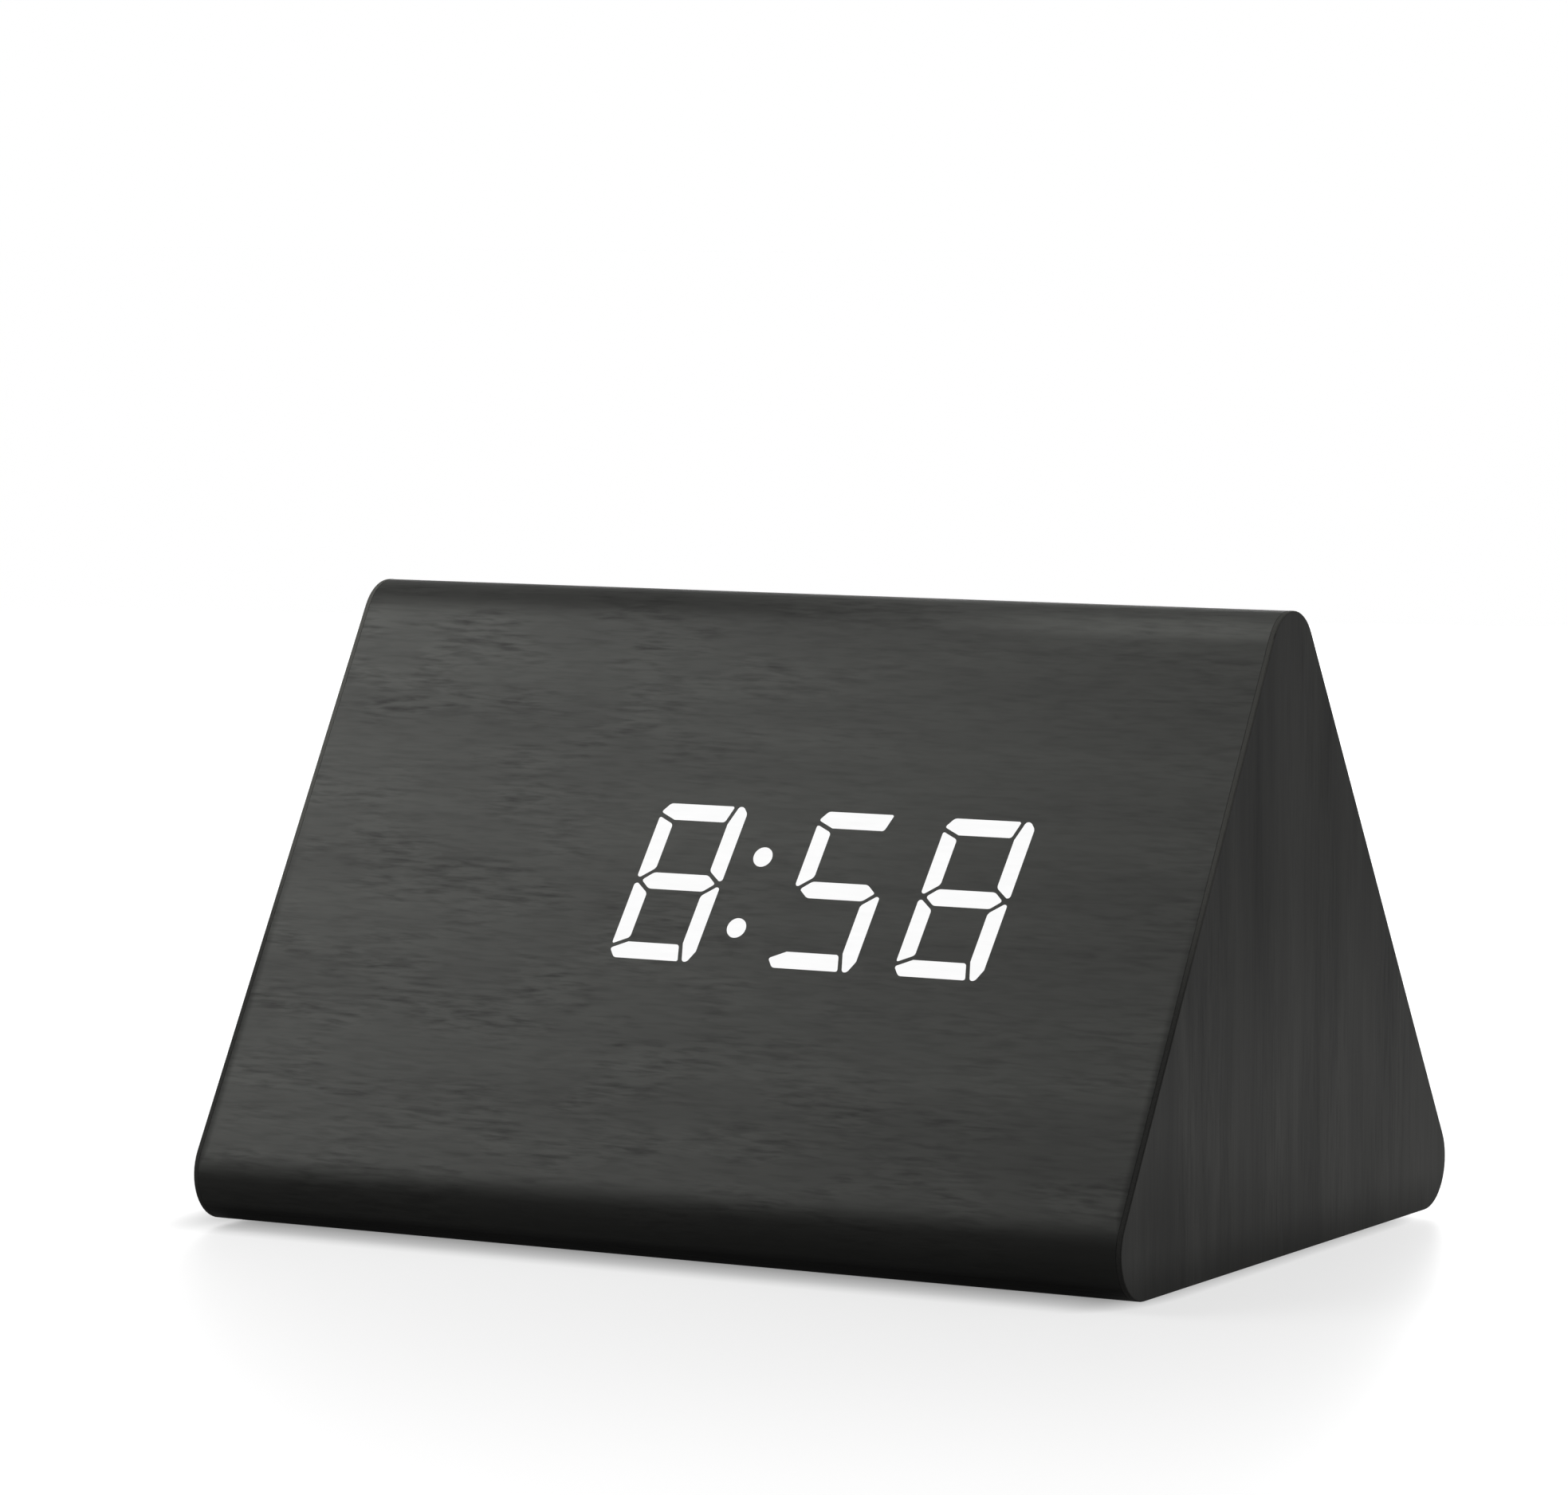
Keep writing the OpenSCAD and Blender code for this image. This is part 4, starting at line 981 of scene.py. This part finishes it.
def seen_directly(node):
    """1 for what the camera sees, also in a polished face or through a clear one."""
    path = node("ShaderNodeLightPath").outputs
    share = node("ShaderNodeMath", {
        0: path["Is Camera Ray"], 1: path["Is Glossy Ray"],
    }, operation="MAXIMUM")
    return node("ShaderNodeMath", {0: share, 1: path["Is Transmission Ray"]}, operation="MAXIMUM")


def past_rectangle(node, place, half_x, half_y):
    """How far a place on the floor is outside a rectangle, along X and along Y."""
    reach = node("ShaderNodeVectorMath", {0: place}, operation="ABSOLUTE")
    past = node("ShaderNodeVectorMath", {
        0: reach, 1: (half_x * MM, half_y * MM, 1.0),
    }, operation="SUBTRACT")
    return node("ShaderNodeVectorMath", {0: past, 1: (0.0, 0.0, 0.0)}, operation="MAXIMUM")


def studio_floor():
    """White floor: it glows for the eye but hardly lights the object, takes a soft share of
    shadow, and has a faint polish that mirrors the object. Its glow is lower near the object,
    a painted soft shade round it, and higher far off, making up for the lamps' falloff. A painted
    contact shadow dims it close to the object, and painted shade takes its glow out of the
    object's own polish there. It is clear from below, and under the object also for light, so
    that the underside can be seen."""
    material, node = new_finish("white_studio_floor")
    place = node("ShaderNodeTexCoord").outputs["Object"]
    # Painted soft shade round the object: the glow rises from near it to far off
    level = node("ShaderNodeMapRange", {
        "Value": node("ShaderNodeVectorMath", {0: place}, operation="LENGTH"),
        "From Min": 60 * MM, "From Max": 200 * MM,
        "To Min": FLOOR_GLOW, "To Max": FLOOR_GLOW_FAR,
    }, interpolation_type="SMOOTHSTEP")
    # The painted contact shadow lies a little to the left of the base, and is narrower past its
    # ends
    shifted = node("ShaderNodeVectorMath", {0: place, 1: (4 * MM, 0.0, 0.0)}, operation="ADD")
    beside = node("ShaderNodeVectorMath", {
        0: past_rectangle(node, shifted, BODY_LEN / 2 - 3, MID_Y - 9), 1: (2.1, 1.0, 0.0),
    }, operation="MULTIPLY")
    gap = node("ShaderNodeVectorMath", {0: beside}, operation="LENGTH")
    painted_contact_shadow = node("ShaderNodeMapRange", {"Value": gap, "From Max": 16 * MM, "To Min": 0.1})
    level = node("ShaderNodeMath", {0: level, 1: painted_contact_shadow}, operation="MULTIPLY")
    # Painted shade in the object's polish: glossy rays see less glow close to the object
    painted_shade_in_polish = node("ShaderNodeMix", {
        "Factor": node("ShaderNodeLightPath").outputs["Is Glossy Ray"], "A": 1.0,
        "B": node("ShaderNodeMapRange", {"Value": gap, "From Min": 5 * MM, "From Max": 30 * MM}),
    }, data_type="FLOAT")
    level = node("ShaderNodeMath", {0: level, 1: painted_shade_in_polish}, operation="MULTIPLY")
    glow = node("ShaderNodeEmission", {
        "Color": linear("#ffffff"),
        "Strength": node("ShaderNodeMath", {
            0: seen_directly(node), 1: level,
        }, operation="MULTIPLY"),
    })
    white = node("ShaderNodeAddShader", {
        0: node("ShaderNodeBsdfDiffuse", {"Color": linear("#707070")}), 1: glow,
    })
    polish = node("ShaderNodeBsdfGlossy", {"Color": linear("#ffffff"), "Roughness": 0.42})
    top = node("ShaderNodeMixShader", {0: FLOOR_POLISH, 1: white, 2: polish})
    past = past_rectangle(node, place, BODY_LEN / 2 - 2, MID_Y - 1)
    seen_or_past = node("ShaderNodeMath", {
        0: node("ShaderNodeVectorMath", {0: past}, operation="LENGTH"),
        1: node("ShaderNodeLightPath").outputs["Is Camera Ray"],
    }, operation="ADD")
    under = node("ShaderNodeMath", {0: seen_or_past, 1: 0.01 * MM}, operation="LESS_THAN")
    clear = node("ShaderNodeMath", {
        0: under, 1: node("ShaderNodeNewGeometry").outputs["Backfacing"],
    }, operation="MAXIMUM")
    node("ShaderNodeOutputMaterial", {"Surface": node("ShaderNodeMixShader", {
        0: clear, 1: top, 2: node("ShaderNodeBsdfTransparent"),
    })})
    bm = bmesh.new()
    bmesh.ops.create_grid(bm, x_segments=1, y_segments=1, size=FLOOR_REACH)
    # Just under the feet, so that the two don't share a plane
    bmesh.ops.translate(bm, verts=bm.verts, vec=(0, 0, -0.02 * MM))
    piece_from("studio_floor", bm, [material])


def studio_world():
    """White to the eye and in polish. For everything else a low even light, stronger from
    under the floor, where only the underside meets it."""
    world = bpy.data.worlds.new("white_studio")
    world.use_nodes = True
    world.node_tree.nodes.clear()
    node = partial(add, world.node_tree)
    way = node("ShaderNodeTexCoord").outputs["Generated"]
    low_light = node("ShaderNodeMapRange", {
        "Value": node("ShaderNodeSeparateXYZ", {"Vector": way}).outputs["Z"],
        "From Min": -0.05, "From Max": -0.3, "To Min": AMBIENT, "To Max": FROM_BELOW,
    })
    strength = node("ShaderNodeMath", {0: seen_directly(node), 1: low_light}, operation="MAXIMUM")
    back = node("ShaderNodeBackground", {"Color": linear("#ffffff"), "Strength": strength})
    node("ShaderNodeOutputWorld", {"Surface": back})
    scene.world = world


def soft_box(name, place, size, power):
    """A rectangular lamp in a plain diffuser, aimed at the middle of the clock."""
    data = bpy.data.lights.new(name, "AREA")
    data.shape = "RECTANGLE"
    data.size, data.size_y = size
    data.energy = power
    lamp = bpy.data.objects.new(name, data)
    lamp.location = place
    aim = Vector((0, 0, LAMP_AIM_Z))
    lamp.rotation_euler = (Vector(place) - aim).to_track_quat("Z", "Y").to_euler()
    lamp.visible_camera = False
    scene.collection.objects.link(lamp)


studio_floor()
studio_world()
soft_box("key_from_the_left", place=(-0.15, -0.125, 0.2), size=(0.18, 0.18), power=0.555)
soft_box("fill_from_the_right", place=(0.4, 0.1, 0.1), size=(0.3, 0.2), power=0.55)
soft_box("fill_from_behind", place=(-0.3, 0.9, 0.2), size=(0.6, 0.4), power=4.0)
scene.view_settings.view_transform = "Standard"
